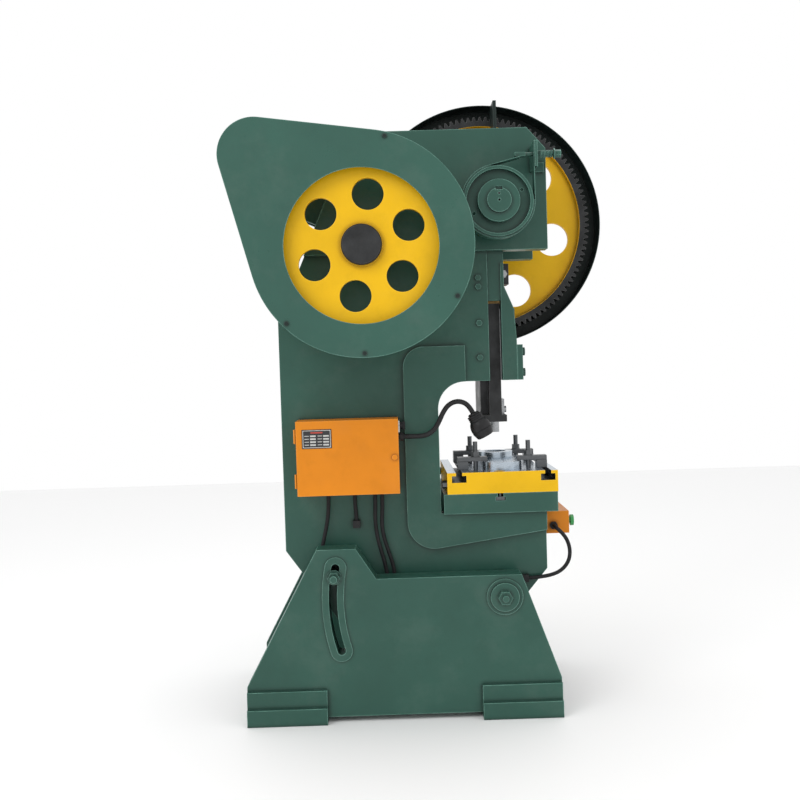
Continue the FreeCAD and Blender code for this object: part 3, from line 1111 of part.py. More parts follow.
def bolster():
    low, top = "table_top", "bolster_top"
    blank = box("bolster_blank", ("bolster_rear", "bolster_front"), ("-table_half", "table_half"),
                (low, top))
    holes = [rod("bolster_drop", "Z", ("crank_at", "0"), (low + " - 1", top + " + 1"),
                 "bolster_hole")]
    for end in ("rear", "front"):
        middle = "bolster_slot_%s" % end
        whole = ("-table_half - 1", "table_half + 1")
        holes.append(box(end + "_neck", (middle + " - bolster_neck / 2", middle + " + bolster_neck / 2"),
                         whole, (low + " + bolster_slot_low", top + " + 1")))
        holes.append(box(end + "_wide", (middle + " - bolster_wide / 2", middle + " + bolster_wide / 2"),
                         whole, (low + " + bolster_slot_low", low + " + bolster_slot_high")))
    bolts = []
    for i, across in enumerate((-228, 228)):
        at = ("table_slot_at", str(across))
        holes.append(rod("bolster_bolt_hole%d" % i, "Z", at, (low + " - 1", top + " + 1"), "9"))
        holes.append(rod("bolster_bolt_well%d" % i, "Z", at, (top + " - 24", top + " + 1"), "19"))
        bolts.append(fuse("bolster_bolt%d" % i,
                          rod("bolster_stem%d" % i, "Z", at, (low + " - slot_deep", top + " - 4"), "8"),
                          box("bolster_tee%d" % i, ("table_slot_at - 15", "table_slot_at + 15"),
                              ("%d - 15" % across, "%d + 15" % across),
                              (low + " - slot_deep", low + " - slot_deep / 2")),
                          hexagon("bolster_nut%d" % i, "Z", at, (top + " - 24", top + " - 9"), "27")))
    for i, (x, side) in enumerate(STUDS):
        holes.append(rod("stud_tap%d" % i, "Z", (x, "%d * stud_side" % side), (top + " - 32", top + " + 1"),
                         "stud + 0.05"))
    keep(cut("bolster_body", blank, *holes), "bolster")
    keep(group("bolster_bolt_pair", bolts), "tooling_bolts")
    stops = [hexagon("stop%d" % i, "X", (str(across), low + " + 32"),
                     ("bolster_rear - 15", "bolster_rear"), "24")
             for i, across in enumerate((-226, 226))]
    keep(group("stop_pair", stops), "tooling_bolts")


def die_set():
    low = "bolster_top"
    base = plate("die_base", [("die_rear", low), ("die_front", low),
                              ("die_front", low + " + die_thick"), ("die_rear", low + " + die_thick")],
                 ("-die_half", "die_half"))
    rounds = []
    for i, (x, sx) in enumerate((("die_rear", 1), ("die_front", -1))):
        for j, (y, sy) in enumerate((("-die_half", 1), ("die_half", -1))):
            block = box("corner_block%d%d" % (i, j), sorted((x + " - %d" % sx, x + " + %d * die_corner"
                        % sx), key=number), sorted((y + " - %d" % sy, y + " + %d * die_corner" % sy),
                        key=number), (low + " - 1", low + " + die_thick + 1"))
            keeper = rod("corner_keep%d%d" % (i, j), "Z", (x + " + %d * die_corner" % sx,
                         y + " + %d * die_corner" % sy), (low + " - 2", low + " + die_thick + 2"),
                         "die_corner")
            rounds.append(cut("corner%d%d" % (i, j), block, keeper))
    bore = rod("die_bore", "Z", ("crank_at", "0"), (low + " - 1", low + " + die_thick + 1"),
               "ring_hole - 6")
    keep(cut("die_body", base, bore, *rounds), "die_set")
    top = low + " + die_thick"
    keep(ring("die_ring_turned", "Z", ("crank_at", "0"), (top, top + " + ring_height"),
              "ring_radius", "ring_hole"), "die_set")
    studs, straps, blocks, nuts = [], [], [], []
    for i, (x, side) in enumerate(STUDS):
        across = "%d * stud_side" % side
        inward = 1 if i < 2 else -1
        studs.append(rod("stud%d" % i, "Z", (x, across), (low + " - 30", "stud_top"), "stud"))
        reach = sorted((x + " - %d * 62" % inward, x + " + %d * 40" % inward), key=number)
        bar = box("strap_bar%d" % i, reach, (across + " - strap_half", across + " + strap_half"),
                  (top, top + " + strap_thick"))
        slot = box("strap_slot%d" % i, (x + " - 16", x + " + 16"),
                   (across + " - stud - 1", across + " + stud + 1"), (top + " - 1", top + " + 20"))
        straps.append(cut("strap%d" % i, bar, slot))
        heel = sorted((x + " - %d * 62" % inward, x + " - %d * 26" % inward), key=number)
        blocks.append(box("heel%d" % i, heel, (across + " - strap_half - 4", across + " + strap_half + 4"),
                          (low, top)))
        seat = top + " + strap_thick"
        washer = rod("stud_washer%d" % i, "Z", (x, across), (seat, seat + " + 3"), "15")
        nut = hexagon("stud_hex%d" % i, "Z", (x, across), (seat + " + 3", seat + " + 18"), "24")
        nuts.append(cut("stud_nut%d" % i, fuse("nut_pair%d" % i, washer, nut),
                        rod("nut_bore%d" % i, "Z", (x, across), (seat, "stud_top + 1"),
                                "stud + 0.05")))
    keep(group("stud_set", studs), "tooling_bolts")
    keep(group("strap_set", straps), "strap_clamps")
    keep(group("heel_set", blocks), "strap_clamps")
    keep(group("nut_set", nuts), "tooling_bolts")


# ---------------------------------------------------------------- electrics

def switch_box():
    back, front = "-box_near + door_thick", "-web_outer"
    hinges = []
    for i, low in enumerate(("box_low + 26", "box_high - 72")):
        up = (low, low + " + 46")
        hinges.append(rod("hinge_barrel%d" % i, "Z", ("box_rear - 4", back), up, "4"))
        hinges.append(box("hinge_leaf%d" % i, ("box_rear - 5", "box_rear + 1"), (back, back + " + 24"),
                          up))
    shell = cut("cabinet_shell",
                fuse("cabinet_blank", box("cabinet_case", ("box_rear", "box_front"), (back, front),
                                          ("box_low", "box_high")), *hinges),
                box("cabinet_hollow", ("box_rear + box_sheet", "box_front - box_sheet"),
                    (back + " - 1", front + " - box_sheet"),
                    ("box_low + box_sheet", "box_high - box_sheet")),
                *[rod("cabinet_gland_hole%d" % i, "Z", (str(x), "-gland_side"),
                      ("box_low - 1", "box_low + 5"), "gland - 3") for i, x in enumerate(GLANDS_AT)],
                rod("cabinet_lamp_hole", "X", ("-lamp_side", "lamp_height"),
                    ("box_front - 5", "box_front + 1"), "9"))
    keep(shell, "switch_cabinet")
    lock_at = ("box_front - 14", "box_low + 120")
    door = cut("door_shell", box("door_blank", ("box_rear", "box_front"),
                                 ("-box_near", "-box_near + door_thick - side_gap"),
                                 ("box_low", "box_high")),
               box("door_hollow", ("box_rear + box_sheet", "box_front - box_sheet"),
                   ("-box_near + box_sheet", "-box_near + door_thick + 1"),
                   ("box_low + box_sheet", "box_high - box_sheet")))
    keep(fuse("door_body", door, rod("lock_head", "Y", lock_at, ("-box_near - 6", "-box_near + 1"),
                                     "9")), "cabinet_door")
    keep(box("plate_blank", ("box_rear + 20", "box_rear + 117"), ("-box_near - 1", "-box_near"),
             ("box_high - 89", "box_high - 27")), "rating_plate")
    keep(box("isolator_blank", ("box_front", "box_front + 5"), ("-304", "-226"),
             ("box_high - 46", "box_high - 8")), "cover_plates")
    knob_at = ("-244", "box_high - 27")
    keep(fuse("knob", rod("knob_disc", "X", knob_at, ("box_front + 5.3", "box_front + 15"), "13"),
              box("knob_grip", ("box_front + 15", "box_front + 24"), ("-248", "-240"),
                  ("box_high - 40", "box_high - 14"))), "isolator_knob")


GLANDS_AT = (-237, -148, -80, -56)
CABLES = {
    "rear_cable": [(-237, -222, 736), (-237, -222, 704), (-240, -221, 668), (-247, -222, 630),
                   (-256, -221, 592), (-265, -222, 552), (-272, -219, 514), (-276, -215, 480),
                   (-277, -212, 450)],
    "middle_cable": [(-148, -222, 736), (-148, -222, 716), (-147, -220, 692), (-146, -216, 672),
                     (-145, -213, 648)],
    "long_cable": [(-80, -222, 736), (-80, -222, 702), (-82, -221, 664), (-81, -222, 626),
                   (-76, -221, 588), (-67, -222, 550), (-57, -221, 514), (-50, -219, 480),
                   (-46, -216, 448), (-45, -213, 420)],
    "short_cable": [(-56, -222, 736), (-56, -222, 704), (-58, -221, 668), (-60, -222, 632),
                    (-56, -221, 596), (-47, -222, 562), (-36, -221, 528), (-27, -219, 496),
                    (-22, -216, 464), (-20, -213, 436)],
    "panel_cable": [(527, -172, 602), (527, -186, 602), (533, -202, 597), (545, -214, 586),
                    (559, -221, 568), (568, -223, 546), (572, -222, 520), (568, -223, 494),
                    (555, -222, 471), (534, -221, 453), (508, -219, 443), (482, -217, 438),
                    (455, -215, 435), (430, -214, 434)],
}
LAMP_ROUTE = [(22, -265, 930), (46, -265, 930), (76, -265, 929), (104, -265, 934),
              (126, -265, 951), (141, -265, 976), (154, -265, 1005), (172, -265, 1030),
              (198, -265, 1042), (224, -265, 1038), (243, -265, 1022), (254, -265, 1001)]


def cables():
    for name, route in CABLES.items():
        keep(tube(name + "_tube", route, size["cable"]), name)
    box_glands = [fuse("gland%d" % i,
                       rod("gland_body%d" % i, "Z", (str(x), "-gland_side"),
                           ("736", "box_low + 8"), "gland - 3.1"),
                       hexagon("gland_nut%d" % i, "Z", (str(x), "-gland_side"),
                               ("738", "box_low"), "17" if i > 1 else "24"))
                  for i, x in enumerate(GLANDS_AT)]
    keep(group("gland_set", box_glands), "cable_glands")
    for i, (name, route) in enumerate(CABLES.items()):
        x, y, z = route[-1]
        along = (x - 26, x) if name == "panel_cable" else (x - 12, x + 12)
        up = (z - 12, z + 12) if name == "panel_cable" else (z - 24, z)
        block = box("entry%d" % i, along, ("%d" % (y - 12), "-web_outer"), up)
        keep(cut("entry_seat%d" % i, block, PIECES[name][0]), "cable_glands")


def lamp():
    tube_solid = tube("lamp_tube_solid", LAMP_ROUTE, size["lamp_tube"])
    keep(tube_solid, "gooseneck")
    keep(fuse("lamp_socket", rod("lamp_boss", "X", ("-lamp_side", "lamp_height"), ("box_front + 5", "22"), "14"),
              rod("lamp_tail", "X", ("-lamp_side", "lamp_height"), ("box_front - 8", "box_front + 5"), "8.9")),
         "cable_glands")
    start = FreeCAD.Vector(*LAMP_ROUTE[-1])
    run = (start - FreeCAD.Vector(*LAMP_ROUTE[-2])).normalize()
    aim = FreeCAD.Rotation(FreeCAD.Vector(0, 0, 1), run)
    profile = [(0, 0), (20, 0), (25, 6), (25, 26), (29, 28), (size["lamp_radius"] + 1, 52),
               (size["lamp_radius"] + 1, 66), (30, 84), (26, 88), (23, 88), (23, 84), (30, 62),
               (25, 34), (0, 34)]
    head = turned("lamp_turned", "Z", ("0", "0"), profile)
    for axis in "xyz":
        head.setExpression("Placement.Base." + axis, None)
    head.Placement = FreeCAD.Placement(start, aim)
    keep(head, "lamp_shade")
    lens = add("Part::Cylinder", "lens_disc")
    lens.Radius, lens.Height = 22.9, 3
    lens.Placement = FreeCAD.Placement(start + run * 84.5, aim)
    keep(lens, "lamp_shade")


def control_box():
    side = ("-panel_half", "panel_half")
    shell = cut("panel_shell", box("panel_blank", ("bed_front", "panel_front"), side,
                                   ("panel_low", "panel_high")),
                box("panel_hollow", ("bed_front + 3", "panel_front - 3"),
                    ("-panel_half + 3", "panel_half - 3"), ("panel_low + 3", "panel_high - 3")),
                *[rod("button_hole%d" % i, "X", (str(y), str(z)), ("panel_front - 5",
                      "panel_front + 1"), radius) for i, (y, z, radius) in enumerate(
                          ((-118, 612, "11"), (118, 612, "11"), (0, 612, "9")))],
                rod("panel_gland_hole", "Y", ("527", "602"), ("-panel_half - 1", "-panel_half + 5"),
                    "gland - 3"))
    keep(shell, "control_box")
    keep(fuse("panel_gland_body", rod("panel_gland_stem", "Y", ("527", "602"),
                                      ("-172", "-panel_half + 8"), "gland - 3.1"),
              hexagon("panel_gland_nut", "Y", ("527", "602"), ("-170", "-panel_half"), "24")),
         "cable_glands")
    for tag, across in (("left", -118), ("right", 118)):
        at = (str(across), "612")
        keep(fuse(tag + "_button", rod(tag + "_button_stem", "X", at,
                                       ("panel_front - 26", "panel_front + 10"), "10.9"),
                  rod(tag + "_button_cap", "X", at, ("panel_front + 9", "panel_front + 21"), "19")),
             tag + "_start_button")
    keep(fuse("halt", rod("halt_stem", "X", ("0", "612"), ("panel_front - 26", "panel_front + 8"), "8.9"),
              rod("halt_cap", "X", ("0", "612"), ("panel_front + 7", "panel_front + 17"), "15")),
         "stop_button")


def top_plate():
    keep(box("lid_blank", ("slope_top + 12", "slope_top + 118"), ("-150", "-40"),
             ("head_top", "head_top + 10")), "cover_plates")


# ---------------------------------------------------------------- build and write

for section in (stand, frame_casting, frame_fittings, crankshaft, connecting_rod, slide, brake,
                gears, flywheel, motor, belt_guard, gear_guard, bolster, die_set, switch_box,
                cables, lamp, control_box, top_plate):
    section()
doc.recompute()

NODES = []
for node, pieces in PIECES.items():
    whole = pieces[0] if len(pieces) == 1 else group(node + "_set", pieces)
    whole.Label = node
    NODES.append(whole)
doc.recompute()

broken = [thing.Name for thing in doc.Objects
          if "Invalid" in thing.State or "Error" in thing.State]
if broken:
    raise SystemExit("failed objects: " + ", ".join(broken))
for piece in NODES:
    if piece.Shape.isNull() or not piece.Shape.isValid() or piece.Shape.Volume <= 0:
        raise SystemExit("bad shape: " + piece.Label)

os.makedirs("parts", exist_ok=True)
for piece in NODES:
    piece.Shape.exportStep("parts/%s.step" % piece.Label)
print("%d nodes, %d solids" % (len(NODES), sum(len(n.Shape.Solids) for n in NODES)))
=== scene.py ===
import json
import math

import bmesh
import bpy
from mathutils import Matrix, Vector


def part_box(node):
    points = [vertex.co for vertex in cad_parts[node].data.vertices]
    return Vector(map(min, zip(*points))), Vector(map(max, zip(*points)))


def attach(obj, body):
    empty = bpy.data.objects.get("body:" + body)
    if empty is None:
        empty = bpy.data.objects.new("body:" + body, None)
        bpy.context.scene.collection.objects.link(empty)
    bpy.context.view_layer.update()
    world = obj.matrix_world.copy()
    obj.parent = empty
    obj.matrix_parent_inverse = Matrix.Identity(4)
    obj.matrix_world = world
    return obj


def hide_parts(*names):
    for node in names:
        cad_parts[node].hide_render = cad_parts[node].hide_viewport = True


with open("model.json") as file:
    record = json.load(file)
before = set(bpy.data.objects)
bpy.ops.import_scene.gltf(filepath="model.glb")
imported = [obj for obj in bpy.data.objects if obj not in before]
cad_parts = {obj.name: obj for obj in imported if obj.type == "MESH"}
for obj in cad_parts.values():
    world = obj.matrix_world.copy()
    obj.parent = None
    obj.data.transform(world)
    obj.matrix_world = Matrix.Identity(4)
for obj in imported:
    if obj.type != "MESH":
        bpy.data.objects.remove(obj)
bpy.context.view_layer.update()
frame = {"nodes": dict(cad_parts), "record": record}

NODES = frame["nodes"]
RECORD = frame["record"]
BODIES = RECORD["behaviour"]["bodies"]


# ---------------------------------------------------------------- materials
class Graph:
    """A node material under construction."""

    def __init__(self, name):
        self.material = bpy.data.materials.new(name)
        self.material.use_nodes = True
        self.tree = self.material.node_tree
        self.tree.nodes.clear()
        self.out = self.tree.nodes.new("ShaderNodeOutputMaterial")
        self.shader = self.tree.nodes.new("ShaderNodeBsdfPrincipled")
        self.tree.links.new(self.shader.outputs[0], self.out.inputs[0])
        self.coords = self.tree.nodes.new("ShaderNodeTexCoord").outputs["Object"]

    def put(self, target, value):
        if hasattr(value, "links"):
            self.tree.links.new(value, target)
        elif isinstance(value, (tuple, list)) and len(value) == 3 and target.type == "RGBA":
            target.default_value = (*value, 1.0)
        else:
            target.default_value = value

    def add(self, kind, output=0, inputs=None, **settings):
        node = self.tree.nodes.new("ShaderNode" + kind)
        for key, value in settings.items():
            setattr(node, key, value)
        for key, value in (inputs or {}).items():
            self.put(node.inputs[key], value)
        return node.outputs[output]

    def set(self, **inputs):
        names = {"colour": "Base Color", "rough": "Roughness", "metal": "Metallic",
                 "coat": "Coat Weight", "coat_rough": "Coat Roughness", "normal": "Normal",
                 "level": "Specular IOR Level", "alpha": "Alpha"}
        for key, value in inputs.items():
            self.put(self.shader.inputs[names[key]], value)

    def noise(self, scale, detail=3.0, rough=0.55, coords=None, stretch=None):
        at = self.coords if coords is None else coords
        if stretch:
            at = self.add("Mapping", inputs={"Vector": at, "Scale": stretch})
        return self.add("TexNoise", inputs={"Vector": at, "Scale": scale, "Detail": detail,
                                            "Roughness": rough})

    def span(self, value, low, high, to_low=0.0, to_high=1.0):
        return self.add("MapRange", inputs={"Value": value, "From Min": low, "From Max": high,
                                            "To Min": to_low, "To Max": to_high})

    def math(self, operation, a, b=0.0):
        return self.add("Math", operation=operation, inputs={0: a, 1: b})

    def mix(self, factor, a, b):
        node = self.tree.nodes.new("ShaderNodeMix")
        node.data_type = "RGBA"
        self.put(node.inputs[0], factor)
        self.put(node.inputs[6], a)
        self.put(node.inputs[7], b)
        return node.outputs[2]

    def edge(self, radius=0.0042):
        """About 1 on sharp outside and inside edges, 0 on flat faces."""
        soft = self.add("Bevel", samples=4, inputs={"Radius": radius})
        hard = self.add("NewGeometry", output="Normal")
        dot = self.add("VectorMath", output="Value", operation="DOT_PRODUCT",
                       inputs={0: soft, 1: hard})
        return self.span(dot, 0.99, 0.93)

    def corner_shade_mask(self, distance=0.014):
        """About 1 in inside corners and narrow gaps, 0 on open faces; the mask of the painted shade in
        corners.
        """
        open_sky = self.add("AmbientOcclusion", output="AO", samples=4,
                            inputs={"Distance": distance})
        return self.span(open_sky, 0.92, 0.55)

    def bump(self, height, strength, distance, normal=None):
        inputs = {"Height": height, "Strength": strength, "Distance": distance}
        if normal is not None:
            inputs["Normal"] = normal
        return self.add("Bump", inputs=inputs)


def shade(colour, factor):
    """A colour made darker or lighter."""
    return tuple(min(1.0, c * factor) for c in colour)


def paint(name, colour, rough=0.34, casting=0.0, wear_and_highlight=0.9, dust=0.18, coat=0.12, level=0.32,
          lift=(0.16, 0.28, 0.24)):
    """Brushed or sprayed enamel, over rough cast iron where casting is above 0, with paler edges (worn
    chips and painted highlight) and painted shade in its corners.
    """
    g = Graph(name)
    cloud = g.noise(2.6, 4.0, 0.6)
    blotch = g.noise(19.0, 5.0, 0.62)
    grain = g.noise(170.0, 3.0, 0.6)
    base = g.mix(g.span(cloud, 0.35, 0.68), shade(colour, 0.9), shade(colour, 1.1))
    base = g.mix(g.math("MULTIPLY", g.span(blotch, 0.52, 0.8), 0.4), base, shade(colour, 0.78))
    # paler edges: partly worn paint chips, partly a painted highlight where light catches the rounded
    # edges
    chips_and_highlight = g.math("MULTIPLY", g.edge(), g.span(blotch, 0.4, 0.58, 0.45, 1.0))
    # mask for painted shade in inside corners and narrow gaps
    corner_shade = g.corner_shade_mask()
    chips_and_highlight = g.math("MULTIPLY", chips_and_highlight, g.math("SUBTRACT", wear_and_highlight, corner_shade))
    pale = tuple(1.2 * c + more for c, more in zip(colour, lift))
    base = g.mix(chips_and_highlight, base, pale)
    powder = g.math("MULTIPLY", g.span(g.noise(5.5, 5.0, 0.7), 0.5, 0.78), dust * 0.35)
    base = g.mix(powder, base, (0.33, 0.33, 0.3))
    # painted shade: inside corners and narrow gaps darkened towards a deep shade of the paint colour
    base = g.mix(g.math("MULTIPLY", corner_shade, 0.75), base, shade(colour, 0.22))
    g.set(colour=base, coat_rough=0.16, coat=coat, level=level,
          rough=g.span(blotch, 0.3, 0.75, rough - 0.05, rough + 0.13))
    skin = g.bump(grain, 0.16, 0.0004)
    if casting:
        lumps = g.noise(34.0, 3.0, 0.5)
        skin = g.bump(lumps, min(1.0, casting), 0.0016, skin)
        waves = g.noise(7.5, 2.0, 0.45)
        skin = g.bump(waves, min(1.0, casting), 0.004, skin)
    else:
        skin = g.bump(g.noise(4.2, 2.0, 0.4), 0.5, 0.004, skin)
    g.set(normal=skin)
    return g.material


def iron(name, colour, rough, metal):
    """Oiled cast iron or dark steel."""
    g = Graph(name)
    cloud = g.noise(14.0, 5.0, 0.62)
    fine = g.noise(260.0, 3.0, 0.6)
    base = g.mix(g.span(cloud, 0.36, 0.7), shade(colour, 0.7), shade(colour, 1.45))
    base = g.mix(g.math("MULTIPLY", g.edge(0.0018), 0.55), base, (0.3, 0.3, 0.29))
    g.set(colour=base, metal=metal, rough=g.span(cloud, 0.3, 0.72, rough + 0.1, rough - 0.12),
          normal=g.bump(fine, 0.4, 0.0005))
    return g.material


def steel(name, colour, rough=0.28):
    """Machined steel with fine tool marks and oily stains."""
    g = Graph(name)
    lines = g.noise(60.0, 4.0, 0.7, stretch=(1.0, 1.0, 14.0))
    stain = g.noise(22.0, 5.0, 0.6)
    base = g.mix(g.span(lines, 0.35, 0.66), shade(colour, 0.8), shade(colour, 1.2))
    base = g.mix(g.math("MULTIPLY", g.span(stain, 0.5, 0.75), 0.35), base, shade(colour, 0.55))
    g.set(colour=base, metal=1.0, rough=g.span(lines, 0.3, 0.7, rough - 0.07, rough + 0.12),
          normal=g.bump(lines, 0.12, 0.0003))
    return g.material


def rubber(name, colour, rough, level):
    """Soft black rubber or dull plastic."""
    g = Graph(name)
    cloud = g.noise(30.0, 4.0, 0.6)
    fine = g.noise(700.0, 2.0, 0.5)
    base = g.mix(g.span(cloud, 0.4, 0.75), colour, tuple(c * 1.5 + 0.008 for c in colour))
    g.set(colour=base, rough=g.span(cloud, 0.3, 0.7, rough - 0.08, rough + 0.14), level=level,
          normal=g.bump(fine, 0.15, 0.0003))
    return g.material


def bronze(name):
    """Turned bearing bronze."""
    g = Graph(name)
    lines = g.noise(90.0, 3.0, 0.6, stretch=(1.0, 12.0, 1.0))
    base = g.mix(g.span(lines, 0.35, 0.65), (0.42, 0.25, 0.09), (0.62, 0.4, 0.17))
    g.set(colour=base, metal=1.0, rough=g.span(lines, 0.3, 0.7, 0.24, 0.42),
          normal=g.bump(lines, 0.1, 0.0003))
    return g.material


def plastic(name, colour, rough=0.3):
    """Smooth moulded plastic."""
    g = Graph(name)
    cloud = g.noise(45.0, 3.0, 0.5)
    base = g.mix(g.span(cloud, 0.4, 0.7), shade(colour, 0.9), shade(colour, 1.1))
    g.set(colour=base, coat=0.2, rough=g.span(cloud, 0.3, 0.7, rough - 0.05, rough + 0.08),
          normal=g.bump(g.noise(900.0, 2.0), 0.06, 0.0002))
    return g.material


GREEN = (0.021, 0.082, 0.060)
LOOK = {
    "green": paint("green_enamel_casting", GREEN, casting=0.35, rough=0.36),
    "sheet_green": paint("green_enamel_sheet", shade(GREEN, 1.12), rough=0.3, coat=0.2,
                         wear_and_highlight=0.7),
    "yellow": paint("yellow_enamel", (0.78, 0.45, 0.002), casting=0.3, rough=0.42, dust=0.08,
                    coat=0.05, level=0.22, lift=(0.1, 0.1, 0.05)),
    "orange": paint("orange_enamel", (0.67, 0.215, 0.006), rough=0.4, dust=0.08, coat=0.05,
                    wear_and_highlight=0.7, level=0.22, lift=(0.1, 0.12, 0.08)),
    "guard": paint("near_black_enamel", (0.009, 0.018, 0.016), rough=0.42, dust=0.05, coat=0.05,
                   wear_and_highlight=0.6, level=0.25, lift=(0.05, 0.07, 0.06)),
    "iron": iron("dark_iron", (0.028, 0.029, 0.03), 0.42, 0.6),
    "steel": steel("machined_steel", (0.36, 0.37, 0.38)),
    "bright": steel("ground_steel", (0.47, 0.53, 0.59), 0.24),
    "dark_steel": steel("oiled_steel", (0.13, 0.135, 0.14), 0.34),
    "bronze": bronze("bearing_bronze"),
    "rubber": rubber("black_rubber", (0.008, 0.008, 0.009), 0.55, 0.25),
    "plate": steel("satin_aluminium", (0.6, 0.6, 0.58), 0.35),
    "black": rubber("black_plastic", (0.009, 0.009, 0.01), 0.42, 0.3),
    "plate_black": plastic("black_plate", (0.012, 0.012, 0.014), 0.35),
    "plate_red": plastic("red_field", (0.5, 0.05, 0.03), 0.4),
    "lens": plastic("lamp_lens", (0.75, 0.75, 0.7), 0.15),
    "button_green": plastic("green_plastic", (0.02, 0.3, 0.07)),
    "button_red": plastic("red_plastic", (0.55, 0.02, 0.015)),
}
SLOT_LOOK = {
    "green_paint": "green", "yellow_paint": "yellow", "orange_paint": "orange",
    "dark_guard": "guard", "dark_iron": "iron", "bare_steel": "steel", "tool_steel": "bright",
    "bronze": "bronze", "black_rubber": "rubber", "plate_aluminium": "plate",
    "black_plastic": "black", "green_button": "button_green", "red_button": "button_red",
}
for part in RECORD["subparts"]:
    thing = NODES[part["node"]]
    look = LOOK[SLOT_LOOK[part["material_slot"]]]
    thing.data.materials.clear()
    thing.data.materials.append(look)


# ---------------------------------------------------------------- mesh helpers
def welded(node):
    """A copy of a CAD node's mesh with its flat faces joined up."""
    mesh = bmesh.new()
    mesh.from_mesh(NODES[node].data)
    bmesh.ops.remove_doubles(mesh, verts=mesh.verts, dist=1e-5)
    bmesh.ops.dissolve_limit(mesh, angle_limit=math.radians(0.4), verts=mesh.verts,
                             edges=mesh.edges, delimit={"NORMAL"})
    return mesh


IN_LINE = 0.85
SHARE_OF_NEIGHBOUR = 0.45


def room(edge, start):
    """How far a bevel of this edge may reach at one of its ends."""
    along = (edge.other_vert(start).co - start.co).normalized()
    least = 1.0
    for other in start.link_edges:
        if other is edge:
            continue
        way = (other.other_vert(start).co - start.co).normalized()
        if abs(way.dot(along)) < IN_LINE:
            least = min(least, other.calc_length() * SHARE_OF_NEIGHBOUR)
    return least


def ease_edges(mesh, width, angle=30.0, segments=2):
    """Rounds each sharp edge that has room for it."""
    limit = math.radians(angle)
    chosen = [e for e in mesh.edges if len(e.link_faces) == 2 and e.calc_face_angle(0.0) > limit
              and min(room(e, v) for v in e.verts) > width]
    if chosen:
        bmesh.ops.bevel(mesh, geom=chosen, offset=width, offset_type="OFFSET", segments=segments,
                        profile=0.55, affect="EDGES", clamp_overlap=True)


def to_object(mesh, name, looks, smooth=32.0):
    """A finished piece from mesh data, its curved faces smooth and its flats flat."""
    data = bpy.data.meshes.new(name)
    mesh.normal_update()
    mesh.to_mesh(data)
    mesh.free()
    thing = bpy.data.objects.new(name, data)
    bpy.context.scene.collection.objects.link(thing)
    for look in ([looks] if isinstance(looks, str) else looks):
        data.materials.append(LOOK[look])
    data.shade_smooth()
    data.set_sharp_from_angle(angle=math.radians(smooth))
    weigh = thing.modifiers.new("weigh", "WEIGHTED_NORMAL")
    weigh.keep_sharp = True
    weigh.weight = 80
    return thing


def body_with(node):
    """The body that a CAD node belongs to."""
    for body, members in BODIES.items():
        if node in members:
            return body


def stand_for(thing, node):
    """Puts a finished piece in a CAD node's place."""
    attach(thing, body_with(node))
    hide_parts(node)
    return thing


def ease(node, looks, width, pick=None):
    """The CAD node again, with its edges rounded as a casting's or a plate's are.
    pick tells which of the looks a face takes."""
    mesh = welded(node)
    ease_edges(mesh, width)
    if pick:
        mesh.normal_update()
        for face in mesh.faces:
            face.material_index = pick(face)
    return stand_for(to_object(mesh, node + "_eased", looks), node)


def axis_of(joint_name):
    """A point on a joint's axis."""
    for joint in RECORD["behaviour"]["joints"]:
        if joint["name"] == joint_name:
            return Vector(joint["pos_m"])


CRANK = axis_of("crank_turn")
DRIVE = axis_of("flywheel_spin")
MOTOR = axis_of("motor_spin")
GEAR_WEB_OUTER = 0.376
WHEEL_WEB_OUTER = 0.3
BOLSTER_TOP = 0.8
T_SLOTS = tuple(mount["pos_m"][0] for mount in RECORD["mounts"] if mount["kind"] == "slide")
T_SLOT_REACH = 0.0265
BRAKE_END = -0.383


def off_axis(point, axis):
    """How far a point lies from an axis along Y."""
    return math.hypot(point.x - axis.x, point.z - axis.z)


def reach(face, axis):
    """How far from an axis a face's farthest corner lies."""
    return max(off_axis(vert.co, axis) for vert in face.verts)


def gear_look(face):
    """Dark rim and teeth, painted web."""
    return 0 if reach(face, CRANK) > GEAR_WEB_OUTER else 1


def wheel_look(face):
    """Dark grooves and rim, painted sides and web."""
    return 0 if reach(face, DRIVE) > WHEEL_WEB_OUTER and abs(face.normal.y) < 0.9 else 1


def bolster_look(face):
    """Ground top, painted sides, dark slots."""
    at, normal = face.calc_center_median(), face.normal
    if at.z > BOLSTER_TOP and normal.z > 0.8:
        return 0
    in_slot = any(abs(at.x - slot) < T_SLOT_REACH for slot in T_SLOTS)
    return 2 if in_slot and abs(normal.y) < 0.8 else 1


def crank_look(face):
    """Painted brake end, bare shaft."""
    return 0 if face.calc_center_median().y < BRAKE_END else 1


# node, its looks, the width its edges are rounded by, and what tells the looks apart
SPECIAL = (
    ("bull_gear", ("iron", "yellow"), 0.0007, gear_look),
    ("flywheel", ("iron", "yellow"), 0.0014, wheel_look),
    ("bolster", ("bright", "yellow", "iron"), 0.0009, bolster_look),
    ("crankshaft", ("green", "steel"), 0.0008, crank_look),
)

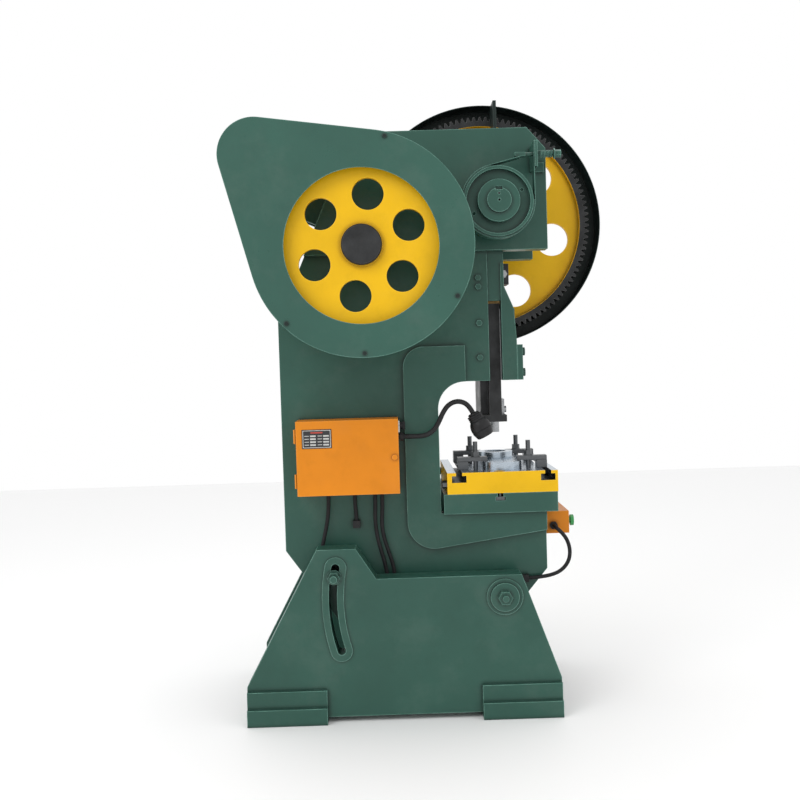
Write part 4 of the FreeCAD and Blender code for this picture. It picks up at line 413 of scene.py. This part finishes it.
# node, its look and the width its edges are rounded by
EASED = (
    ("left_leg", "green", 0.0022), ("right_leg", "green", 0.0022), ("frame", "green", 0.0022),
    ("front_tie_plate", "green", 0.0015), ("brake_anchor", "green", 0.001),
    ("belt_guard", "sheet_green", 0.0012), ("gear_guard", "guard", 0.0008),
    ("switch_cabinet", "orange", 0.0009),
    ("cabinet_door", "orange", 0.0012), ("control_box", "orange", 0.0012),
    ("slide", "iron", 0.001), ("brake_drum", "green", 0.0009), ("brake_band", "green", 0.0005),
    ("brake_tension_rod", "green", 0.0003), ("connecting_rod", "iron", 0.0012),
    ("rod_cap", "iron", 0.0012), ("die_set", "bright", 0.0007), ("strap_clamps", "dark_steel", 0.0008),
    ("motor", "green", 0.0015), ("motor_bracket", "green", 0.0012), ("slide_gibs", "steel", 0.0006),
    ("pivot_pins", "green", 0.0008), ("tilt_lock_bolts", "green", 0.0006),
    ("guide_bolts", "green", 0.0005), ("tooling_bolts", "dark_steel", 0.0005),
    ("drive_pinion", "iron", 0.0005), ("flywheel_cap", "iron", 0.0008),
    ("crank_end_fittings", "green", 0.0005), ("guard_supports", "guard", 0.0005),
    ("shank_clamp", "steel", 0.0007), ("shank_sleeve", "steel", 0.0005),
    ("slide_bolts", "steel", 0.0005), ("rod_bolts", "steel", 0.0005),
    ("cable_glands", "black", 0.0006), ("isolator_knob", "black", 0.0006),
    ("stop_button", "button_red", 0.0012), ("left_start_button", "button_green", 0.0012),
    ("right_start_button", "button_green", 0.0012), ("motor_pulley", "iron", 0.0006),
    ("cover_plates", "plate", 0.0006), ("tie_bars", "green", 0.001),
)
for node, look, width in EASED:
    ease(node, look, width)
for node, looks, width, pick in SPECIAL:
    ease(node, looks, width, pick)


# ---------------------------------------------------------------- cables
# each cable's route in millimetres, as its CAD tube runs
CABLES = {
    "rear_cable": [(-237, -222, 736), (-237, -222, 704), (-240, -221, 668), (-247, -222, 630),
                   (-256, -221, 592), (-265, -222, 552), (-272, -219, 514), (-276, -215, 480),
                   (-277, -212, 450)],
    "middle_cable": [(-148, -222, 736), (-148, -222, 716), (-147, -220, 692), (-146, -216, 672),
                     (-145, -213, 648)],
    "long_cable": [(-80, -222, 736), (-80, -222, 702), (-82, -221, 664), (-81, -222, 626),
                   (-76, -221, 588), (-67, -222, 550), (-57, -221, 514), (-50, -219, 480),
                   (-46, -216, 448), (-45, -213, 420)],
    "short_cable": [(-56, -222, 736), (-56, -222, 704), (-58, -221, 668), (-60, -222, 632),
                    (-56, -221, 596), (-47, -222, 562), (-36, -221, 528), (-27, -219, 496),
                    (-22, -216, 464), (-20, -213, 436)],
    "panel_cable": [(527, -172, 602), (527, -186, 602), (533, -202, 597), (545, -214, 586),
                    (559, -221, 568), (568, -223, 546), (572, -222, 520), (568, -223, 494),
                    (555, -222, 471), (534, -221, 453), (508, -219, 443), (482, -217, 438),
                    (455, -215, 435), (430, -214, 434)],
}
CABLE_THICK = 0.013
LAMP_ROUTE = [(22, -265, 930), (46, -265, 930), (76, -265, 929), (104, -265, 934),
              (126, -265, 951), (141, -265, 976), (154, -265, 1005), (172, -265, 1030),
              (198, -265, 1042), (224, -265, 1038), (243, -265, 1022), (254, -265, 1001)]


def spline_of(name, points, radius):
    """A round cord along a smooth line led by points in millimetres."""
    curve = bpy.data.curves.new(name, "CURVE")
    curve.dimensions = "3D"
    curve.bevel_depth = radius
    curve.bevel_resolution = 6
    curve.resolution_u = 12
    spline = curve.splines.new("NURBS")
    spline.points.add(len(points) - 1)
    for point, at in zip(spline.points, points):
        point.co = (*(v / 1000 for v in at), 1.0)
    spline.order_u = 3
    spline.use_endpoint_u = True
    thing = bpy.data.objects.new(name, curve)
    bpy.context.scene.collection.objects.link(thing)
    return thing


for name, points in CABLES.items():
    lead = spline_of(name + "_lead", points, CABLE_THICK / 2)
    lead.data.materials.append(LOOK["rubber"])
    stand_for(lead, name)


# ---------------------------------------------------------------- turned pieces
def lathe(mesh, profile, at, axis, segments=64, look=0):
    """Adds a turned solid: profile is (radius, distance along axis), closed on the axis."""
    axis = Vector(axis).normalized()
    side = axis.orthogonal().normalized()
    other = axis.cross(side)
    at = Vector(at)
    rows = []
    for radius, along in profile:
        centre = at + axis * along
        if radius < 1e-7:
            rows.append([mesh.verts.new(centre)])
        else:
            rows.append([mesh.verts.new(centre + (side * math.cos(turn) + other * math.sin(turn))
                                        * radius)
                         for turn in (2 * math.pi * i / segments for i in range(segments))])
    for low, high in zip(rows, rows[1:]):
        for i in range(segments):
            k = (i + 1) % segments
            # a row of one point closes the solid on its axis
            ring = [low[i % len(low)], low[k % len(low)], high[k % len(high)], high[i % len(high)]]
            face = mesh.faces.new(list(dict.fromkeys(ring)))
            face.material_index = look
    return mesh


def tidy(mesh):
    """Turns every face outwards."""
    bmesh.ops.recalc_face_normals(mesh, faces=mesh.faces)
    return mesh


def add_box(mesh, low, high, look=0, ease_by=0.0):
    """Adds a block, with eased edges where ease_by is above 0."""
    part = bmesh.new()
    bmesh.ops.create_cube(part, size=1.0)
    for vert in part.verts:
        vert.co = Vector(low[i] + (vert.co[i] + 0.5) * (high[i] - low[i]) for i in range(3))
    if ease_by:
        bmesh.ops.bevel(part, geom=part.edges[:], offset=ease_by, segments=2, profile=0.6,
                        affect="EDGES", offset_type="OFFSET")
    for face in part.faces:
        face.material_index = look
    data = bpy.data.meshes.new("block")
    part.to_mesh(data)
    part.free()
    mesh.from_mesh(data)
    bpy.data.meshes.remove(data)


def thread(mesh, at, axis, radius, start, end, pitch=0.002, depth=0.0011, look=0, segments=32):
    """A screw thread as a true helix, its far end chamfered."""
    axis = Vector(axis).normalized()
    side = axis.orthogonal().normalized()
    other = axis.cross(side)
    at = Vector(at)
    turns = int((end - start) / pitch)
    rings = []
    for k in range(turns * 4 + 1):
        ring = []
        for i in range(segments):
            turn = 2 * math.pi * i / segments
            along = start + k * pitch / 4
            phase = (along / pitch - i / segments) % 1.0
            out = radius - depth * (1 - abs(2 * phase - 1))
            out = min(out, radius - depth + max(0.0, (end - along) * 0.9))
            ring.append(mesh.verts.new(at + axis * along
                                       + (side * math.cos(turn) + other * math.sin(turn)) * out))
        rings.append(ring)
    for low, high in zip(rings, rings[1:]):
        for i in range(segments):
            k = (i + 1) % segments
            mesh.faces.new((low[i], low[k], high[k], high[i])).material_index = look
    for ring, way in ((rings[0], -1), (rings[-1], 1)):
        mesh.faces.new(ring[::way]).material_index = look


def extra(mesh, name, looks, body):
    """A detail piece that rides on a body."""
    thing = to_object(tidy(mesh), name, looks)
    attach(thing, body)
    return thing


# ---------------------------------------------------------------- detail pieces
ARM_RADIUS = 0.0082
RIB_HEIGHT = 0.0004
RIB_PITCH = 0.0052


def ribbed_arm():
    """The lamp's ribbed bent arm."""
    line = spline_of("arm_line", LAMP_ROUTE, 0.0)
    line.data.resolution_u = 26
    copy = bpy.data.meshes.new_from_object(line)
    path = [v.co.copy() for v in copy.vertices]
    bpy.data.meshes.remove(copy)
    bpy.data.objects.remove(line)
    mesh = bmesh.new()
    travelled, rings, segments = 0.0, [], 28
    for i, at in enumerate(path):
        ahead = path[min(i + 1, len(path) - 1)] - path[max(i - 1, 0)]
        ahead.normalize()
        across = Vector((0, 1, 0))
        up = ahead.cross(across).normalized()
        if i:
            travelled += (at - path[i - 1]).length
        radius = ARM_RADIUS + RIB_HEIGHT * math.sin(2 * math.pi * travelled / RIB_PITCH)
        rings.append([mesh.verts.new(at + (across * math.cos(turn) + up * math.sin(turn)) * radius)
                      for turn in (2 * math.pi * k / segments for k in range(segments))])
    for low, high in zip(rings, rings[1:]):
        for i in range(segments):
            k = (i + 1) % segments
            mesh.faces.new((low[i], low[k], high[k], high[i]))
    for ring in (rings[0], rings[-1]):
        mesh.faces.new(ring)
    return stand_for(to_object(tidy(mesh), "lamp_arm", "black"), "gooseneck")


def lamp_head():
    """The lamp's stepped rubber head, with its lens."""
    start = Vector(LAMP_ROUTE[-1]) / 1000
    aim = (start - Vector(LAMP_ROUTE[-2]) / 1000).normalized()
    mm = 0.001
    outer = [(0.0, 0.2), (16.5, 0.2), (18.5, 1.4), (19.4, 3.2), (19.4, 5.0), (18.2, 5.8),
             (18.2, 7.2), (24.0, 7.6), (25.0, 9.0), (25.0, 11.6), (23.4, 12.6), (23.4, 14.6),
             (25.0, 15.6), (25.0, 18.2), (23.4, 19.2), (23.4, 21.2), (25.0, 22.2), (25.0, 25.4),
             (24.2, 27.2), (26.4, 29.0), (29.6, 34.0), (32.6, 41.0), (34.2, 48.0), (34.8, 53.0),
             (34.8, 60.0), (33.4, 61.2), (33.4, 62.4), (34.8, 63.6), (34.6, 66.0), (33.0, 71.0),
             (30.6, 79.0), (28.8, 84.4), (26.2, 87.2), (24.4, 87.8), (23.4, 87.0), (23.2, 84.2),
             (26.0, 74.0), (29.5, 62.0), (27.5, 50.0), (20.0, 38.0), (9.0, 34.0), (0.0, 34.0)]
    mesh = bmesh.new()
    lathe(mesh, [(r * mm, a * mm) for r, a in outer], start, aim, 72, 0)
    lens = [(0.0, 81.2), (18.0, 81.0), (22.9, 80.6), (23.1, 82.0), (22.6, 83.6), (15.0, 85.4),
            (7.0, 86.2), (0.0, 86.4)]
    lathe(mesh, [(r * mm, a * mm) for r, a in lens], start, aim, 48, 1)
    return stand_for(to_object(tidy(mesh), "lamp_head", ("black", "lens")), "lamp_shade")


def plate_fields():
    """The rating plate: a black plate with bare fields in rows."""
    low, high = (Vector(c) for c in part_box("rating_plate"))
    mesh = bmesh.new()
    add_box(mesh, low, high, 0, 0.0003)
    wide, tall = high.x - low.x, high.z - low.z
    front, proud = low.y + 0.0001, low.y - 0.0002

    def field(x0, x1, z0, z1, look):
        add_box(mesh, (low.x + x0 * wide, proud, low.z + z0 * tall),
                (low.x + x1 * wide, front, low.z + z1 * tall), look)

    for x0, x1, z0, z1 in ((0.03, 0.97, 0.93, 0.96), (0.03, 0.97, 0.04, 0.07),
                           (0.03, 0.05, 0.04, 0.96), (0.95, 0.97, 0.04, 0.96)):
        field(x0, x1, z0, z1, 1)
    field(0.3, 0.7, 0.8, 0.87, 2)
    for row in range(4):
        top = 0.70 - 0.155 * row
        field(0.09, 0.24, top - 0.055, top - 0.02, 1)
        field(0.28, 0.47, top - 0.085, top, 1)
        field(0.53, 0.68, top - 0.055, top - 0.02, 1)
        field(0.72, 0.91, top - 0.085, top, 1)
    for x in (0.018, 0.982):
        for z in (0.02, 0.98):
            lathe(mesh, [(0.0018, 0.0), (0.0016, 0.0006), (0.0008, 0.001), (0.0, 0.0011)],
                  (low.x + (x * 0.94 + 0.03) * wide, low.y, low.z + (z * 0.9 + 0.05) * tall),
                  (0, -1, 0), 16, 1)
    return stand_for(to_object(tidy(mesh), "label", ("plate_black", "plate", "plate_red")),
                     "rating_plate")


STUD_FEET = ((0.268, -0.13), (0.268, 0.13), (0.450, -0.13), (0.437, 0.13))
STUD_THREAD_RADIUS = 0.0083
STUD_THREAD_FROM, STUD_THREAD_TO = 0.8625, 0.8952


def threads():
    """The threads above the nuts on the studs that hold the die."""
    mesh = bmesh.new()
    for x, y in STUD_FEET:
        thread(mesh, (x, y, 0.0), (0, 0, 1), STUD_THREAD_RADIUS, STUD_THREAD_FROM,
               STUD_THREAD_TO)
    extra(mesh, "stud_threads", ("dark_steel",), "press_frame")


FIN_STEP = 9
FINLESS_FROM, FINLESS_TO, FINLESS_TURN = 150, 250, 20
FIN_ROOT, FIN_TIP = 0.0915, 0.0995
FIN_ROOT_HALF, FIN_TIP_HALF = 0.00169, 0.00104
FIN_NEAR, FIN_FAR = -0.277, -0.148
FAN_COVER_END = -0.0072
GRILLE_RINGS = (0.024, 0.040, 0.056, 0.072)
RING_WIDE, RING_HIGH = 0.003, 0.0012


def motor_fins():
    """The motor's cooling fins, and the rings on its fan cover."""
    mesh = bmesh.new()
    for degrees in range(0, 360, FIN_STEP):
        if FINLESS_FROM < (degrees - FINLESS_TURN) % 360 < FINLESS_TO:
            continue
        turn = math.radians(degrees)
        out = Vector((math.cos(turn), 0, math.sin(turn)))
        side = Vector((-out.z, 0, out.x))
        corners = [MOTOR + out * radius + side * thick * way
                   for radius, thick in ((FIN_ROOT, FIN_ROOT_HALF), (FIN_TIP, FIN_TIP_HALF))
                   for way in (-1, 1)]
        verts = [mesh.verts.new(Vector((c.x, y, c.z))) for y in (FIN_NEAR, FIN_FAR)
                 for c in corners]
        for quad in ((0, 1, 3, 2), (4, 6, 7, 5), (0, 2, 6, 4), (1, 5, 7, 3), (2, 3, 7, 6),
                     (0, 4, 5, 1)):
            mesh.faces.new([verts[q] for q in quad])
    for radius in GRILLE_RINGS:
        lathe(mesh, [(radius, 0.0), (radius + RING_WIDE, 0.0), (radius + RING_WIDE, RING_HIGH),
                     (radius, RING_HIGH), (radius, 0.0)],
              (MOTOR.x, FAN_COVER_END, MOTOR.z), (0, 1, 0), 48)
    extra(mesh, "motor_cooling_fins", ("green",), "press_frame")


ribbed_arm()
lamp_head()
plate_fields()
threads()
motor_fins()


# ---------------------------------------------------------------- camera, light, floor
EYE = (-0.018, -3.939, 1.192)
EYE_TURN, EYE_TILT, EYE_ROLL = -0.49, -2.19, -1.78
LENS = 49.91
SENSOR = 36.0
FLOOR_SIZE = 14
# name, place, turn in degrees, size and power of each lamp
LAMPS = (
    ("key", (-2.6, -3.2, 3.9), (52, 0, -38), 2.2, 60),
    ("fill", (3.4, -3.0, 2.4), (66, 0, 48), 2.6, 10),
    ("top", (0.2, 0.4, 4.6), (0, 0, 0), 2.4, 30),
)


def stage():
    """The camera, the pale floor and the soft light."""
    scene = bpy.context.scene
    camera = bpy.data.cameras.new("camera")
    camera.lens = LENS
    camera.sensor_width = SENSOR
    camera.clip_end = 60.0
    eye = bpy.data.objects.new("camera", camera)
    scene.collection.objects.link(eye)
    eye.location = EYE
    turn, tilt, roll = (math.radians(v) for v in (EYE_TURN, 90 + EYE_TILT, EYE_ROLL))
    eye.rotation_euler = (Matrix.Rotation(turn, 3, "Z") @ Matrix.Rotation(tilt, 3, "X")
                          @ Matrix.Rotation(roll, 3, "Z")).to_euler()
    scene.camera = eye

    bpy.ops.mesh.primitive_plane_add(size=FLOOR_SIZE, location=(0, 0, -0.0005))
    floor = bpy.context.object
    floor.name = "floor"
    g = Graph("pale_floor")
    g.set(colour=(0.9, 0.9, 0.9), rough=0.6)
    floor.data.materials.append(g.material)

    world = bpy.data.worlds.new("world")
    world.use_nodes = True
    back = world.node_tree.nodes["Background"]
    back.inputs[0].default_value = (1.0, 1.0, 1.0, 1.0)
    back.inputs[1].default_value = 1.0
    scene.world = world
    for name, at, turn, size, power in LAMPS:
        light = bpy.data.lights.new(name, "AREA")
        light.energy = power
        light.size = size
        lamp = bpy.data.objects.new(name, light)
        lamp.location = at
        lamp.rotation_euler = [math.radians(v) for v in turn]
        scene.collection.objects.link(lamp)
    scene.view_settings.view_transform = "Standard"


stage()
